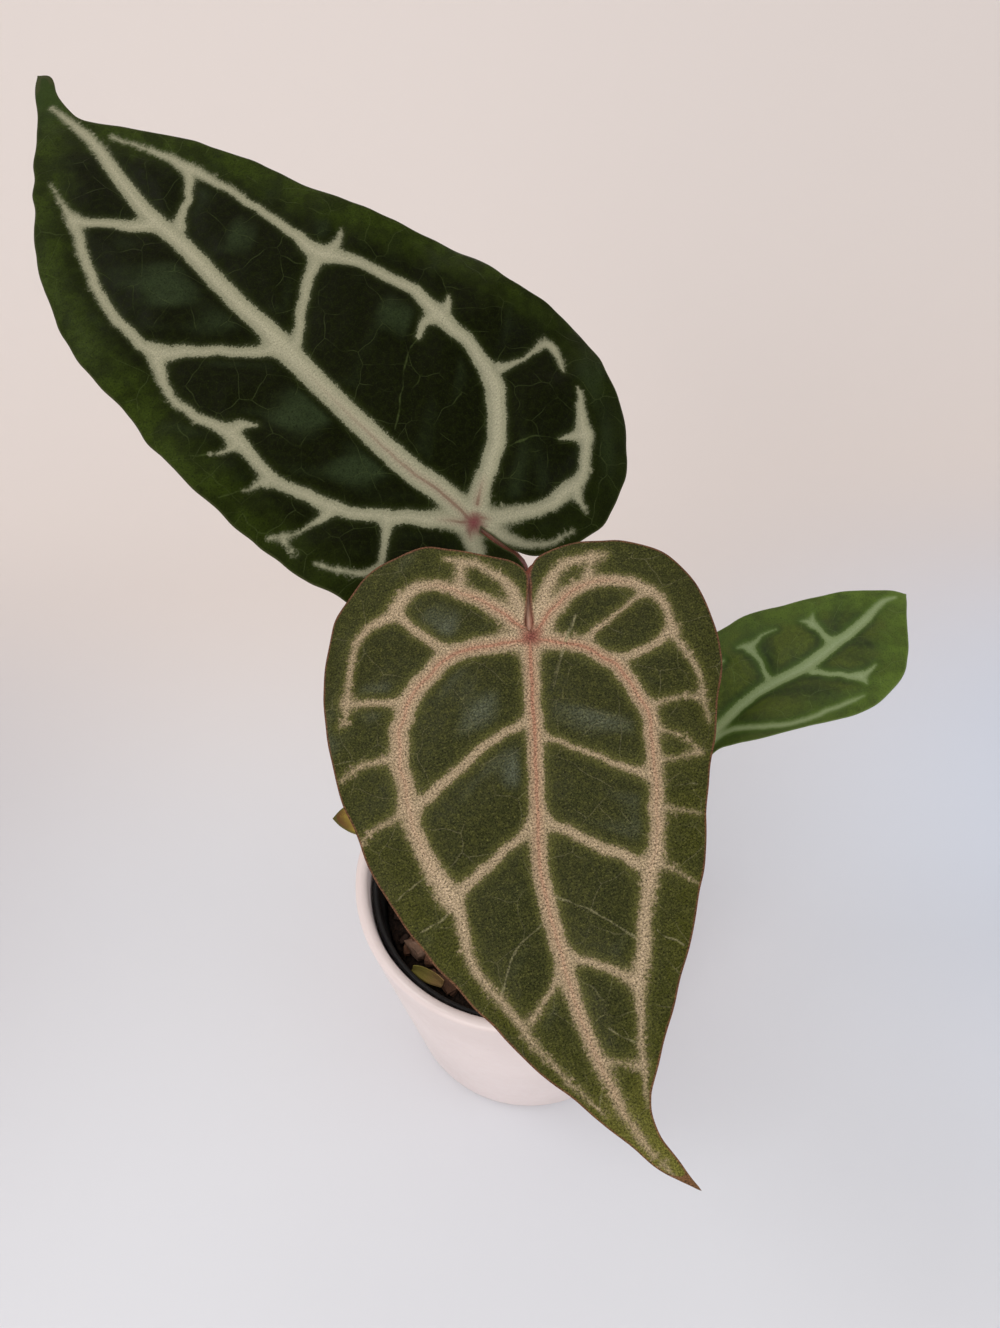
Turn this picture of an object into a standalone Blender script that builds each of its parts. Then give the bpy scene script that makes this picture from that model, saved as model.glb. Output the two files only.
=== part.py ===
# Potted velvet-leaved anthurium: a white cover pot, a thin nursery pot in it, bark soil,
# a short stem with sheaths, and four leaf stalks that each carry a heart-shaped blade.
# Metres, +Z up. The origin is the middle of the cover pot's underside.
import math
import random

import bmesh
import bpy
import numpy as np
from mathutils import Matrix, Vector
from mathutils.geometry import delaunay_2d_cdt

MM = 0.001
GAP = 0.3                       # clearance between pieces that touch, in mm

# Cover pot, a plain tapered cup
POT_HEIGHT = 76.5
POT_RIM_DIAMETER = 89.0
POT_BASE_DIAMETER = 72.5
POT_WALL = 3.2
POT_FLOOR = 4.5
POT_FOOT_ROUNDING = 2.5
POT_STEPS = 60

# Nursery pot, thin and dark, standing inside the cover pot
LINER_HEIGHT = 68.0
LINER_WALL = 1.1
LINER_CLEARANCE = 0.9           # round the outside, between it and the cover pot
LINER_LIP = 0.7                 # how far the rolled lip stands in from the wall
LINER_DRAINS = 5
LINER_DRAIN_DIAMETER = 6.0

# Soil, with bark chips standing out of it
SOIL_LEVEL = 65.5
SOIL_SWELL = 1.4
SOIL_RINGS = 7
SOIL_STEPS = 40
CHIP_COUNT = 52
CHIP_SEED = 11
CHIP_SIZE = (3.0, 5.6)          # shortest and longest half length
CHIP_REACH = 37.0               # no chip goes farther out than this

# Short stem that the leaf stalks stand on
STEM_TOP = 74.0
STEM_DEPTH = 12.0               # below the soil's level
STEM_RADIUS = 6.2
STEM_FOOT_RADIUS = 5.0
STALK_RING = 3.6                # the stalks stand on this radius
STALK_SIDES = 4                 # bevel resolution, 12 sides

# Leaf blades
BLADE_THICKNESS = 0.75
BLADE_CELL = 3.9                # spacing of the points inside a blade
EDGE_CELL = 3.4                 # spacing of the points along its edge
RIB_DEPTH = 0.9                 # how far the midrib stands out underneath
RIB_HALF_WIDTH = 1.25
QUILT_HEIGHT = 0.9              # how far the blade swells between its veins
QUILT_REACH = 4.5
QUILT_FADE = 7.0                # the swelling fades out this near to the edge

# Each blade lies in its own plane: y runs from the stalk's joint to the tip, z out of the
# upper face. heading, rise and roll turn that plane (degrees), and lengths are in mm.
# plus and minus are the two edges, from the notch at the joint round the lobe to the tip.
LEAVES = {
    "leaf_1": dict(
        joint=(3.0, -30.5, 199.5), heading=-75.5, rise=-30.0, roll=-9.0, length=84.3,
        arch=6.0, fold=0.12, sag=0.0045, cup=0.0, wave=(0.8, 22.0, 28.0),
        midrib=[(0, 0), (2, 7), (3.6, 13), (6.4, 25), (8.8, 35), (9.5, 45), (9.5, 55), (8.6, 64.5),
                (6.4, 74), (3, 81), (0, 84.3)],
        plus=[(0.4, -1.2), (-0.35, -4.5), (-1.4, -7.5), (-2.2, -10.5), (-0.8, -13), (2.5, -15), (8.5, -18),
              (13, -19.5), (19, -18.8), (24, -16.5), (29.5, -12), (33, -5), (34.5, 3), (35.2, 10.5),
              (35, 17), (33.5, 23), (32.6, 30), (30.5, 36), (27, 44), (22.5, 52.5), (17.7, 61), (13.5, 67),
              (9, 73.5), (4.6, 80), (0, 84.3)],
        minus=[(-0.8, -1.2), (-1.6, -4.4), (-2.4, -7.5), (-3, -10.4), (-4.6, -12.4), (-8, -13), (-11.5, -12.9),
               (-15, -12), (-19, -10.8), (-24.5, -7), (-27, -2), (-27.5, 5.5), (-26.5, 13), (-23, 20.5),
               (-18.4, 29.4), (-14.8, 39), (-10.1, 47.6), (-5.6, 55), (1.3, 66.5), (3.1, 70), (3.6, 73),
               (2.4, 78), (0, 84.3)],
        veins=[[(0, 0), (8.5, -0.5), (16, 1), (21.5, 5.5), (24.5, 12.5), (25, 21), (23, 34.5), (22, 45),
                (19, 52.5), (15, 61.5), (10, 70.5)],
               [(0, 0), (-6.5, 4), (-11, 9), (-13, 15.5), (-12.5, 23), (-8.5, 35.5), (-4, 44), (0, 53.5),
                (2.5, 63), (4, 70)],
               [(0.5, -1), (5, -7), (10, -11.5), (16, -13), (21, -10), (26.5, -8), (29.5, -1.5), (31, 4)],
               [(-1, -0.5), (-7, -4.5), (-13, -5.5), (-18, -3.5), (-21, 1), (-22, 8.5), (-22.5, 13.5)],
               [(3.6, 13), (14.5, 16.5), (24.5, 21)], [(7.2, 28), (16, 32.5), (23, 36)],
               [(9.5, 49), (13.5, 52.5), (17, 56)], [(3.2, 15), (-3.5, 20.5), (-11, 27)],
               [(6.6, 27.5), (0, 34), (-7, 38.5)], [(9.2, 46), (4, 50.5), (0, 54)]]),
    "leaf_2": dict(
        joint=(-5.0, -6.0, 202.0), heading=135.0, rise=26.5, roll=13.0, length=112.0,
        arch=6.0, fold=0.12, sag=0.0045, cup=0.0, wave=(0.8, 26.0, 30.0),
        midrib=[(0, 0), (-1.2, 7.5), (-3, 15.5), (-4.5, 30), (-5, 42), (-5.4, 56), (-5.8, 74), (-4.4, 88),
                (-3.6, 98), (-3.6, 105), (-1.2, 113.5)],
        plus=[(0.55, -1.2), (0.75, -2), (1.2, -3.6), (1.6, -5.2), (2, -6.8), (2.5, -8), (3.2, -9.3),
              (4.2, -10.6), (6, -11.8), (11.5, -14), (17, -14.6), (22, -13.4), (28, -10.5),
              (32, -7), (35.5, -1.5), (37.8, 4.5), (40.6, 13.5), (39.4, 21), (35.4, 28.5), (32.6, 38),
              (27, 48), (21, 58.5), (16, 70), (9, 82.5), (1, 95), (-2.3, 100), (-1.9, 105), (0.2, 111),
              (-1.2, 113.5)],
        minus=[(-0.4, -1.2), (-0.1, -2), (0.3, -3.7), (0.8, -5.4), (1.35, -6.9), (1.85, -8.3), (1.9, -10),
               (1.2, -12.2), (-1.2, -14.4), (-5, -15.5), (-9.5, -15.4), (-14, -13.7),
               (-18.5, -11), (-22.8, -4.5), (-25.7, 4), (-28.6, 11.5), (-31, 23), (-32.2, 31), (-32.5, 43),
               (-31.7, 49), (-32, 56), (-31.4, 63.5), (-29, 72), (-25.4, 80), (-19.2, 89), (-13.8, 96.5),
               (-8, 103.5), (-3.8, 110.6), (-1.2, 113.5)],
        veins=[[(0, 0.5), (-7.5, 6), (-14.5, 13), (-19.5, 21.5), (-22, 30), (-22.3, 38), (-24.5, 46),
                (-22, 54), (-22.5, 63), (-20.5, 72.5), (-16.5, 82), (-14.5, 90)],
               [(0, 0.5), (6.5, 4.5), (12.5, 8), (17.5, 13.5), (20.5, 20), (19.5, 31), (18.5, 40),
                (13.5, 49), (10.5, 57), (7.5, 71), (4, 82), (0, 92)],
               [(1, -0.5), (7.5, -3.5), (15, -6), (21, -5), (25.5, -1), (29, 3.5), (33, 11), (33.5, 16),
                (26.5, 17), (21, 18.5)],
               [(-1, -0.5), (-5, -7), (-11, -10), (-17, -7.5), (-21, 0), (-22, 6.5), (-18.5, 4.5), (-12, 9.5)],
               [(-5, 42), (-13.5, 48), (-21.5, 53.5)], [(-5.8, 73.5), (-11, 77), (-16.5, 82)],
               [(-4.8, 41), (3.5, 47), (10.5, 51.5)], [(-5.4, 68), (1, 73.5), (5, 78)]]),
    "leaf_3": dict(
        joint=(42.0, -3.5, 128.5), heading=25.5, rise=23.0, roll=4.0, length=57.0,
        arch=4.0, fold=0.1, sag=0.003, cup=0.7, wave=(0.5, 20.0, 20.0),
        midrib=[(0, 0), (-0.6, 12), (0.6, 25), (1.2, 33), (0.5, 42), (-1.6, 51), (0, 57)],
        plus=[(0.5, -1.2), (1.2, -4), (3, -6.4), (5, -6), (5.8, -3.6), (5.6, -0.6), (6.2, 2.6), (8.2, 6),
              (11.2, 10), (14.9, 17.8), (18.4, 27), (19, 34.5), (16, 42.3), (10.5, 48.7), (4.5, 53.2), (0, 57)],
        minus=[(-0.5, -1.2), (-1.5, -4.5), (-5, -8.2), (-10, -8.5), (-14, -5.5), (-16.5, 1), (-17.5, 9),
               (-17.3, 19), (-16.8, 28), (-14, 36), (-8.7, 47), (-3.5, 54.5), (0, 57)],
        veins=[[(0, 0.5), (7.5, 12), (12.5, 19), (14.3, 27), (15, 32), (12, 37.5)],
               [(0, 0.5), (-8, 8), (-12, 16), (-11, 22), (-10.5, 29), (-9, 36), (-5, 47)],
               [(-0.5, 20), (-6, 22), (-10.5, 22.5)], [(1.5, 28), (8.5, 32.5), (12.5, 37)],
               [(0.5, 35.5), (-7.5, 37)]]),
    "leaf_4": dict(
        joint=(-1.3, -28.2, 145.4), heading=196.8, rise=28.1, roll=10.0, length=38.5,
        arch=3.0, fold=0.1, sag=0.006, cup=0.25, wave=(0.4, 14.0, 12.0),
        midrib=[(0, 0), (0.6, 14), (0.4, 28), (-0.2, 38.5)],
        plus=[(0.5, -1.2), (1.4, -4), (4.5, -7), (8.5, -6.6), (11.2, -2.6), (12.2, 3.5), (11.5, 10.5), (9.4, 18.5),
              (6.5, 26), (3.4, 32.5), (1.4, 36.6), (-0.2, 38.5)],
        minus=[(-0.5, -1.2), (-1.4, -4), (-4.5, -7), (-8.5, -6.6), (-11.2, -2.6), (-12, 3.5), (-11.3, 12),
               (-9.6, 21), (-7.4, 29), (-5.4, 34.4), (-3.5, 37.0), (-0.2, 38.5)],
        veins=[[(0, 0.5), (6, 3.5), (8.2, 11), (6.2, 21), (2.6, 31)],
               [(0, 0.5), (-6, 3.5), (-8, 11), (-6.6, 22), (-3.4, 32)]]),
}

# Leaf stalks: the route from the stem upwards, in mm, then the approach to the blade as
# places on the blade (x, y) and the height over its middle surface; radius at foot and top
STALKS = {
    "stalk_1": dict(foot_angle=70, radii=(2.1, 1.05), leaf="leaf_1", route=[
        (2.0, 2.9, 84), (4.0, 1.0, 100), (5.8, -2.0, 130), (7.6, -5.8, 165), (8.0, -8.3, 181),
        (7.6, -10.4, 190.5), (6.2, -12.6, 196.3), (4.6, -15.8, 199.6), (3.3, -19.5, 200.4)],
        approach=[(-1.7, -8.0, -2.5), (-1.2, -6.4, -2.3), (-0.8, -4.7, -2.2), (-0.4, -3.1, -2.1),
                  (-0.1, -1.7, -1.95), (0.2, -0.2, -1.8)]),
    "stalk_2": dict(foot_angle=160, radii=(2.1, 0.95), leaf="leaf_2", route=[
        (-2.6, 1.2, 84), (-1.3, 0.8, 100), (0.6, -1.2, 130), (2.0, -4.0, 162), (2.8, -6.2, 179),
        (3.1, -7.8, 189), (2.8, -8.3, 193.6)],
        approach=[(2.5, -7.6, -2.5), (2.3, -6.4, -2.1), (1.75, -4.6, -1.95), (1.1, -2.2, -1.8),
                  (0.75, -1.0, -1.75), (0.4, 0.2, -1.7)]),
    "stalk_3": dict(foot_angle=-15, radii=(1.9, 0.95), leaf="leaf_3", route=[
        (5.2, -1.6, 81), (8.6, -2.9, 90), (15, -5.0, 101), (23, -6.8, 111)],
        approach=[(-1.6, -14.0, -5.2), (-0.6, -8.5, -3.0), (0.0, -5.0, -2.4), (0.2, -2.4, -1.95),
                  (0.2, -0.1, -1.7)]),
    "stalk_4": dict(foot_angle=250, radii=(1.8, 0.9), leaf="leaf_4", route=[
        (-0.2, -4.8, 83), (0.8, -8.0, 96), (2.4, -14.0, 113), (3.4, -20.5, 127)],
        approach=[(0.9, -7.5, -5.0), (0.4, -4.8, -3.0), (0.2, -2.4, -2.05), (0.1, -0.2, -1.65)]),
}

# Dry sheaths that clasp the stem: angle round it, height, half width in degrees, lean outwards
SHEATHS = {"sheath_1": (115, 21.0, 30.0, 1.6), "sheath_2": (205, 17.0, 26.0, 2.4)}
SHEATH_RADIUS = 6.6
SHEATH_THICKNESS = 0.7

# A shed sheath lying on the soil near the rim, by the front left
SHED_PLACE = (-25.0, -24.9)
SHED_LENGTH = 12.5
SHED_WIDTH = 4.4
SHED_TURN = 146.0
SHED_HEIGHT = 1.9               # above the soil's level


def clear_scene():
    for item in list(bpy.context.scene.objects):
        bpy.data.objects.remove(item, do_unlink=True)


def material(name, colour, roughness):
    made = bpy.data.materials.new(name)
    made.use_nodes = True
    shader = made.node_tree.nodes["Principled BSDF"]
    shader.inputs["Base Color"].default_value = (*colour, 1.0)
    shader.inputs["Roughness"].default_value = roughness
    shader.inputs["Metallic"].default_value = 0.0
    return made


def add_object(name, data, finish, smooth_angle=40.0):
    piece = bpy.data.objects.new(name, data)
    bpy.context.scene.collection.objects.link(piece)
    data.materials.append(finish)
    if isinstance(data, bpy.types.Mesh):
        data.shade_smooth()
        data.set_sharp_from_angle(angle=math.radians(smooth_angle))
    return piece


def mesh_from(bm, name):
    bmesh.ops.recalc_face_normals(bm, faces=bm.faces)
    data = bpy.data.meshes.new(name)
    bm.to_mesh(data)
    bm.free()
    return data


def smooth_curve(points, steps):
    # A Catmull-Rom curve through the points, with this many steps for each span
    p = [np.array(q, float) for q in points]
    p = [2 * p[0] - p[1], *p, 2 * p[-1] - p[-2]]
    out = []
    for a, b, c, d in zip(p, p[1:], p[2:], p[3:]):
        for k in range(steps):
            t = k / steps
            out.append(0.5 * (2 * b + (c - a) * t + (2 * a - 5 * b + 4 * c - d) * t * t
                              + (3 * b - a - 3 * c + d) * t ** 3))
    out.append(p[-2])
    return np.array(out)


def even_points(line, spacing):
    # Points at an even spacing along a line, with both ends kept
    runs = np.linalg.norm(np.diff(line, axis=0), axis=1)
    along = np.concatenate([[0.0], np.cumsum(runs)])
    count = max(2, int(round(along[-1] / spacing)) + 1)
    at = np.linspace(0.0, along[-1], count)
    return np.stack([np.interp(at, along, line[:, k]) for k in range(line.shape[1])], axis=1)


def distance_to_line(points, line):
    # Shortest distance of each point to a line of short straight pieces
    start, run = line[:-1], np.diff(line, axis=0)
    span = np.maximum((run * run).sum(axis=1), 1e-9)
    away = points[:, None, :] - start[None, :, :]
    t = np.clip((away * run[None]).sum(axis=2) / span, 0.0, 1.0)
    return np.linalg.norm(away - t[..., None] * run[None], axis=2).min(axis=1)


def turned(name, profile, steps, finish):
    # A profile of (radius, height) in mm from axis to axis, turned round Z
    bm = bmesh.new()
    verts = [bm.verts.new((r * MM, 0.0, z * MM)) for r, z in profile]
    edges = [bm.edges.new(pair) for pair in zip(verts, verts[1:])]
    bmesh.ops.spin(bm, geom=verts + edges, cent=(0, 0, 0), axis=(0, 0, 1), dvec=(0, 0, 0),
                   angle=math.tau, steps=steps, use_merge=True)
    bmesh.ops.remove_doubles(bm, verts=bm.verts, dist=1e-6)
    return add_object(name, mesh_from(bm, name), finish)


def arc(centre, radius, start, end, steps):
    turns = [math.radians(start + (end - start) * k / steps) for k in range(steps + 1)]
    return [(centre[0] + radius * math.cos(a), centre[1] + radius * math.sin(a)) for a in turns]


def pot_outer(z):
    return (POT_BASE_DIAMETER + (POT_RIM_DIAMETER - POT_BASE_DIAMETER) * z / POT_HEIGHT) / 2


def pot_inner(z):
    return pot_outer(z) - POT_WALL


def liner_outer(z):
    return pot_inner(z) - LINER_CLEARANCE


def liner_inner(z):
    return liner_outer(z) - LINER_WALL


def cover_pot(finish):
    foot, rim = POT_FOOT_ROUNDING, POT_WALL / 2
    rim_z = POT_HEIGHT - rim
    profile = [(0, 0)]
    profile += arc((pot_outer(foot) - foot, foot), foot, -90, -5, 4)
    profile += arc((pot_outer(rim_z) - rim, rim_z), rim, 0, 180, 7)
    profile += [(pot_inner(40), 40)]
    profile += arc((pot_inner(POT_FLOOR + foot) - foot, POT_FLOOR + foot), foot, 0, -90, 4)
    profile += [(0, POT_FLOOR)]
    return turned("cover_pot", profile, POT_STEPS, finish)


def liner_pot(finish):
    floor = POT_FLOOR + GAP
    top = floor + LINER_HEIGHT
    lip = LINER_LIP
    profile = [(0, floor), (liner_outer(floor) - 3.0, floor), (liner_outer(floor + 3), floor + 3.0),
               (liner_outer(top - 3), top - 3), (liner_outer(top) + 0.3, top - 2.4),
               (liner_outer(top) + 0.3, top - 0.5), (liner_outer(top) - 0.2, top),
               (liner_inner(top) - lip + 0.4, top), (liner_inner(top) - lip, top - 0.5),
               (liner_inner(top) - lip, top - 2.2), (liner_inner(top - 3), top - 3.2),
               (liner_inner(floor + 3.5), floor + 3.5),
               (liner_inner(floor) - 2.6, floor + LINER_WALL), (0, floor + LINER_WALL)]
    pot = turned("nursery_pot", profile, POT_STEPS, finish)
    bm = bmesh.new()
    for k in range(LINER_DRAINS):
        spot = Matrix.Rotation(math.tau * k / LINER_DRAINS, 4, "Z") @ Vector((18 * MM, 0, floor * MM))
        bmesh.ops.create_cone(bm, cap_ends=True, segments=12, radius1=LINER_DRAIN_DIAMETER / 2 * MM,
                              radius2=LINER_DRAIN_DIAMETER / 2 * MM, depth=8 * MM,
                              matrix=Matrix.Translation(spot))
    cutter = cutter_object("drain_cutter", bm, finish)
    cut(pot, cutter)
    return pot


def cutter_object(name, bm, finish):
    cutter = add_object(name, mesh_from(bm, name), finish)
    cutter.hide_render = True
    cutter.display_type = "WIRE"
    return cutter


def cut(piece, cutter):
    hole = piece.modifiers.new("hole", "BOOLEAN")
    hole.operation = "DIFFERENCE"
    hole.object = cutter


def soil_surface(x, y):
    # Gentle heave of the soil, lower by the pot's wall, in mm
    swell = math.sin(x / 9.0 + 0.6) * math.cos(y / 8.0 - 0.4) + 0.5 * math.sin((x + y) / 5.0)
    edge = max(0.0, math.hypot(x, y) - 30.0) / 8.0
    return SOIL_LEVEL + SOIL_SWELL * 0.6 * swell - SOIL_SWELL * edge


def soil(finish):
    bottom = POT_FLOOR + GAP + LINER_WALL + GAP
    bm = bmesh.new()
    rings = []
    for k in range(1, SOIL_RINGS + 1):
        ring = []
        for s in range(SOIL_STEPS):
            a = math.tau * s / SOIL_STEPS
            r = (liner_inner(SOIL_LEVEL) - GAP - 0.3) * k / SOIL_RINGS
            x, y = r * math.cos(a), r * math.sin(a)
            ring.append(bm.verts.new((x * MM, y * MM, soil_surface(x, y) * MM)))
        rings.append(ring)
    centre = bm.verts.new((0, 0, soil_surface(0, 0) * MM))
    foot_radius = liner_inner(bottom) - 3.6
    foot = [bm.verts.new((foot_radius * MM * math.cos(math.tau * s / SOIL_STEPS),
                          foot_radius * MM * math.sin(math.tau * s / SOIL_STEPS), bottom * MM))
            for s in range(SOIL_STEPS)]
    low = bm.verts.new((0, 0, bottom * MM))
    for s in range(SOIL_STEPS):
        n = (s + 1) % SOIL_STEPS
        bm.faces.new((centre, rings[0][s], rings[0][n]))
        for inner, outer in zip(rings, rings[1:] + [foot]):
            bm.faces.new((inner[s], outer[s], outer[n], inner[n]))
        bm.faces.new((low, foot[n], foot[s]))
    bed = add_object("soil", mesh_from(bm, "soil"), finish)

    chips = bpy.data.collections.new("chips")
    draw = random.Random(CHIP_SEED)
    golden = math.pi * (3.0 - math.sqrt(5.0))
    for k in range(CHIP_COUNT):
        long = draw.uniform(*CHIP_SIZE)
        reach = 9.5 + (CHIP_REACH - 9.5 - 1.12 * long) * math.sqrt((k + 0.5) / CHIP_COUNT)
        a = golden * k + draw.uniform(-0.3, 0.3)
        x, y = reach * math.cos(a), reach * math.sin(a)
        half = (long, long * draw.uniform(0.5, 0.8), long * draw.uniform(0.3, 0.55))
        turn = Matrix.Rotation(draw.uniform(0, math.tau), 4, "Z") @ Matrix.Rotation(
            draw.uniform(-0.5, 0.5), 4, "X")
        height = soil_surface(x, y) - half[2] * draw.uniform(0.05, 0.5)
        place = Matrix.Translation(Vector((x, y, height)) * MM)
        size = Matrix.Diagonal((half[0] * MM, half[1] * MM, half[2] * MM, 1.0))
        chip_bm = bmesh.new()
        bmesh.ops.create_icosphere(chip_bm, subdivisions=1, radius=1.0)
        for v in chip_bm.verts:
            v.co *= draw.uniform(0.82, 1.12)
        bmesh.ops.transform(chip_bm, matrix=place @ turn @ size, verts=chip_bm.verts)
        chip = bpy.data.objects.new("chip", mesh_from(chip_bm, "chip"))
        chips.objects.link(chip)
    bpy.context.scene.collection.children.link(chips)
    join_collection(bed, chips)

    hole = bmesh.new()
    depth = STEM_DEPTH + 20.0
    bmesh.ops.create_cone(hole, cap_ends=True, segments=32, radius1=(STEM_RADIUS + GAP) * MM,
                          radius2=(STEM_RADIUS + GAP) * MM, depth=depth * MM,
                          matrix=Matrix.Translation((0, 0, (SOIL_LEVEL - STEM_DEPTH - GAP + depth / 2) * MM)))
    cut(bed, cutter_object("stem_hole_cutter", hole, finish))
    return bed


def join_collection(piece, collection):
    # Unite every object of the collection with the piece, and keep only the result
    union = piece.modifiers.new("union", "BOOLEAN")
    union.operation = "UNION"
    union.operand_type = "COLLECTION"
    union.collection = collection
    graph = bpy.context.evaluated_depsgraph_get()
    joined = bpy.data.meshes.new_from_object(piece.evaluated_get(graph), depsgraph=graph)
    piece.modifiers.remove(union)
    piece.data = joined
    for item in list(collection.objects):
        bpy.data.objects.remove(item, do_unlink=True)
    bpy.data.collections.remove(collection)


def stem(finish):
    foot = SOIL_LEVEL - STEM_DEPTH
    profile = [(0, foot), (STEM_FOOT_RADIUS - 1.0, foot), (STEM_FOOT_RADIUS, foot + 1.0),
               (STEM_FOOT_RADIUS + 0.7, foot + 6), (STEM_RADIUS - 0.2, SOIL_LEVEL),
               (STEM_RADIUS, SOIL_LEVEL + 1.6), (STEM_RADIUS - 0.5, SOIL_LEVEL + 2.2),
               (STEM_RADIUS, SOIL_LEVEL + 3.2), (STEM_RADIUS, STEM_TOP - 2.4),
               (STEM_RADIUS - 0.5, STEM_TOP - 1.7), (STEM_RADIUS - 0.1, STEM_TOP - 1.0),
               (STEM_RADIUS - 0.5, STEM_TOP), (0, STEM_TOP)]
    return turned("stem", profile, 32, finish)


def stalk(name, spec, finish):
    angle = math.radians(spec["foot_angle"])
    foot = (STALK_RING * math.cos(angle), STALK_RING * math.sin(angle))
    start = STEM_TOP + GAP
    leaf = LEAVES[spec["leaf"]]
    across, along, up = leaf_axes(leaf)
    arrival = []
    for x, y, z in spec["approach"]:
        height = z + blade_form(leaf, np.array([[x, y]], float))[0]
        arrival.append(tuple(Vector(leaf["joint"]) + across * x + along * y + up * height))
    bend = smooth_curve([(*foot, start + 2.0), (*foot, start + 4.0), *spec["route"], *arrival], 8)
    line = np.concatenate([[(*foot, start)], even_points(bend, 4.0)])
    curve = bpy.data.curves.new(name, "CURVE")
    curve.dimensions = "3D"
    curve.bevel_depth = MM
    curve.bevel_resolution = STALK_SIDES
    curve.use_fill_caps = True
    spline = curve.splines.new("POLY")
    spline.points.add(len(line) - 1)
    wide, slim = spec["radii"]
    for k, (point, place) in enumerate(zip(spline.points, line)):
        point.co = (*(place * MM), 1.0)
        t = k / (len(line) - 1)
        point.radius = slim + (wide - slim) * (1.0 - t) ** 2.2
    return add_object(name, curve, finish)


def leaf_axes(spec):
    heading, rise, roll = (math.radians(spec[key]) for key in ("heading", "rise", "roll"))
    along = Vector((math.cos(rise) * math.cos(heading), math.cos(rise) * math.sin(heading), math.sin(rise)))
    level = Vector((math.sin(heading), -math.cos(heading), 0.0))
    up = level.cross(along)
    across = level * math.cos(roll) + up * math.sin(roll)
    return across, along, across.cross(along)


def blade_form(spec, xy):
    # Height of the blade's middle surface over its plane: an arch from joint to tip, two
    # halves that rise from the midrib and sag to the edge, a cupped base and a waved edge
    x, y = xy[:, 0], xy[:, 1]
    rib = np.array(spec["midrib"], float)
    away = x - np.interp(y, rib[:, 1], rib[:, 0])
    t = y / spec["length"]
    form = 4 * spec["arch"] * np.where(t > 0, t * (1 - t), t + 2 * t * t)
    rise = spec["fold"] + spec["cup"] * np.exp(-(np.maximum(y, -5) / 20.0) ** 2)
    form += rise * (np.sqrt(away ** 2 + 2.0) - math.sqrt(2.0)) - spec["sag"] * away ** 2
    depth, period, half = spec["wave"]
    form += depth * (away / half) ** 2 * np.sin(math.tau * y / period + np.where(away > 0, 0.9, 0.0))
    return form


def blade(name, spec, finish):
    plus = smooth_curve(spec["plus"], 6)
    minus = smooth_curve(spec["minus"], 6)
    edge = np.concatenate([even_points(plus, EDGE_CELL), even_points(minus, EDGE_CELL)[::-1][1:]])
    veins = [smooth_curve(line, 5) for line in [spec["midrib"], *spec["veins"]]]

    # Points: the edge, rows along each vein, and a staggered grid between them
    picked = [tuple(p) for p in edge]
    cores = [even_points(line, BLADE_CELL) for line in veins]
    rows = [row for core in cores for row in vein_rows(core)]
    lo, hi = edge.min(axis=0), edge.max(axis=0)
    grid = [(lo[0] + (i + 0.5 * (j % 2)) * BLADE_CELL, lo[1] + j * BLADE_CELL * 0.866)
            for j in range(int((hi[1] - lo[1]) / BLADE_CELL / 0.866) + 2)
            for i in range(int((hi[0] - lo[0]) / BLADE_CELL) + 2)]
    closed = np.concatenate([edge, edge[:1]])
    for group, clear in ((np.array(rows), RIB_HALF_WIDTH * 0.8), (np.array(grid), BLADE_CELL * 0.55)):
        inside = group[points_inside(group, edge)]
        inside = inside[distance_to_line(inside, closed) > 1.1]
        for p in inside:
            if np.hypot(*(np.array(picked) - p).T).min() > clear:
                picked.append(tuple(p))

    count = len(edge)
    loop = [(k, (k + 1) % count) for k in range(count)]
    verts, _, faces, *_ = delaunay_2d_cdt([Vector(p) for p in picked], loop, [list(range(count))], 1, 1e-5)
    flat = np.array([tuple(v) for v in verts])
    rib = np.min([distance_to_line(flat, line) for line in veins], axis=0)
    joint_fade = np.clip((np.hypot(flat[:, 0], flat[:, 1]) - 2.2) / 3.0, 0.0, 1.0)
    to_edge = distance_to_line(flat, closed)
    swell = (1 - np.exp(-(rib / QUILT_REACH) ** 2)) * joint_fade * np.clip(to_edge / QUILT_FADE, 0.0, 1.0)
    middle = blade_form(spec, flat) + QUILT_HEIGHT * swell
    slim = np.clip(to_edge / 4.0, 0.35, 1.0)
    below = BLADE_THICKNESS + RIB_DEPTH * np.exp(-(rib / RIB_HALF_WIDTH) ** 2) * joint_fade * slim

    across, along, up = leaf_axes(spec)
    place = Matrix((across, along, up)).transposed().to_4x4()
    place.translation = Vector(spec["joint"])
    bm = bmesh.new()
    top = [bm.verts.new((x, y, z + BLADE_THICKNESS / 2)) for (x, y), z in zip(flat, middle)]
    for face in faces:
        bm.faces.new([top[k] for k in face])
    base = {v: k for k, v in enumerate(top)}
    made = bmesh.ops.extrude_face_region(bm, geom=list(bm.faces), use_keep_orig=True)
    lower = [v for v in made["geom"] if isinstance(v, bmesh.types.BMVert)]
    nearest = {(round(v.co.x, 5), round(v.co.y, 5)): k for v, k in base.items()}
    for v in lower:
        v.co.z -= below[nearest[(round(v.co.x, 5), round(v.co.y, 5))]]
    bmesh.ops.transform(bm, matrix=Matrix.Scale(MM, 4) @ place, verts=bm.verts)
    return add_object(name, mesh_from(bm, name), finish, 60.0)


def vein_rows(core):
    # A row along the vein and one on each side of it, so the rib keeps its section
    run = np.gradient(core, axis=0)
    side = np.stack([-run[:, 1], run[:, 0]], axis=1) / np.maximum(np.linalg.norm(run, axis=1), 1e-6)[:, None]
    return [*core, *(core + side * RIB_HALF_WIDTH * 1.2), *(core - side * RIB_HALF_WIDTH * 1.2)]


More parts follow.
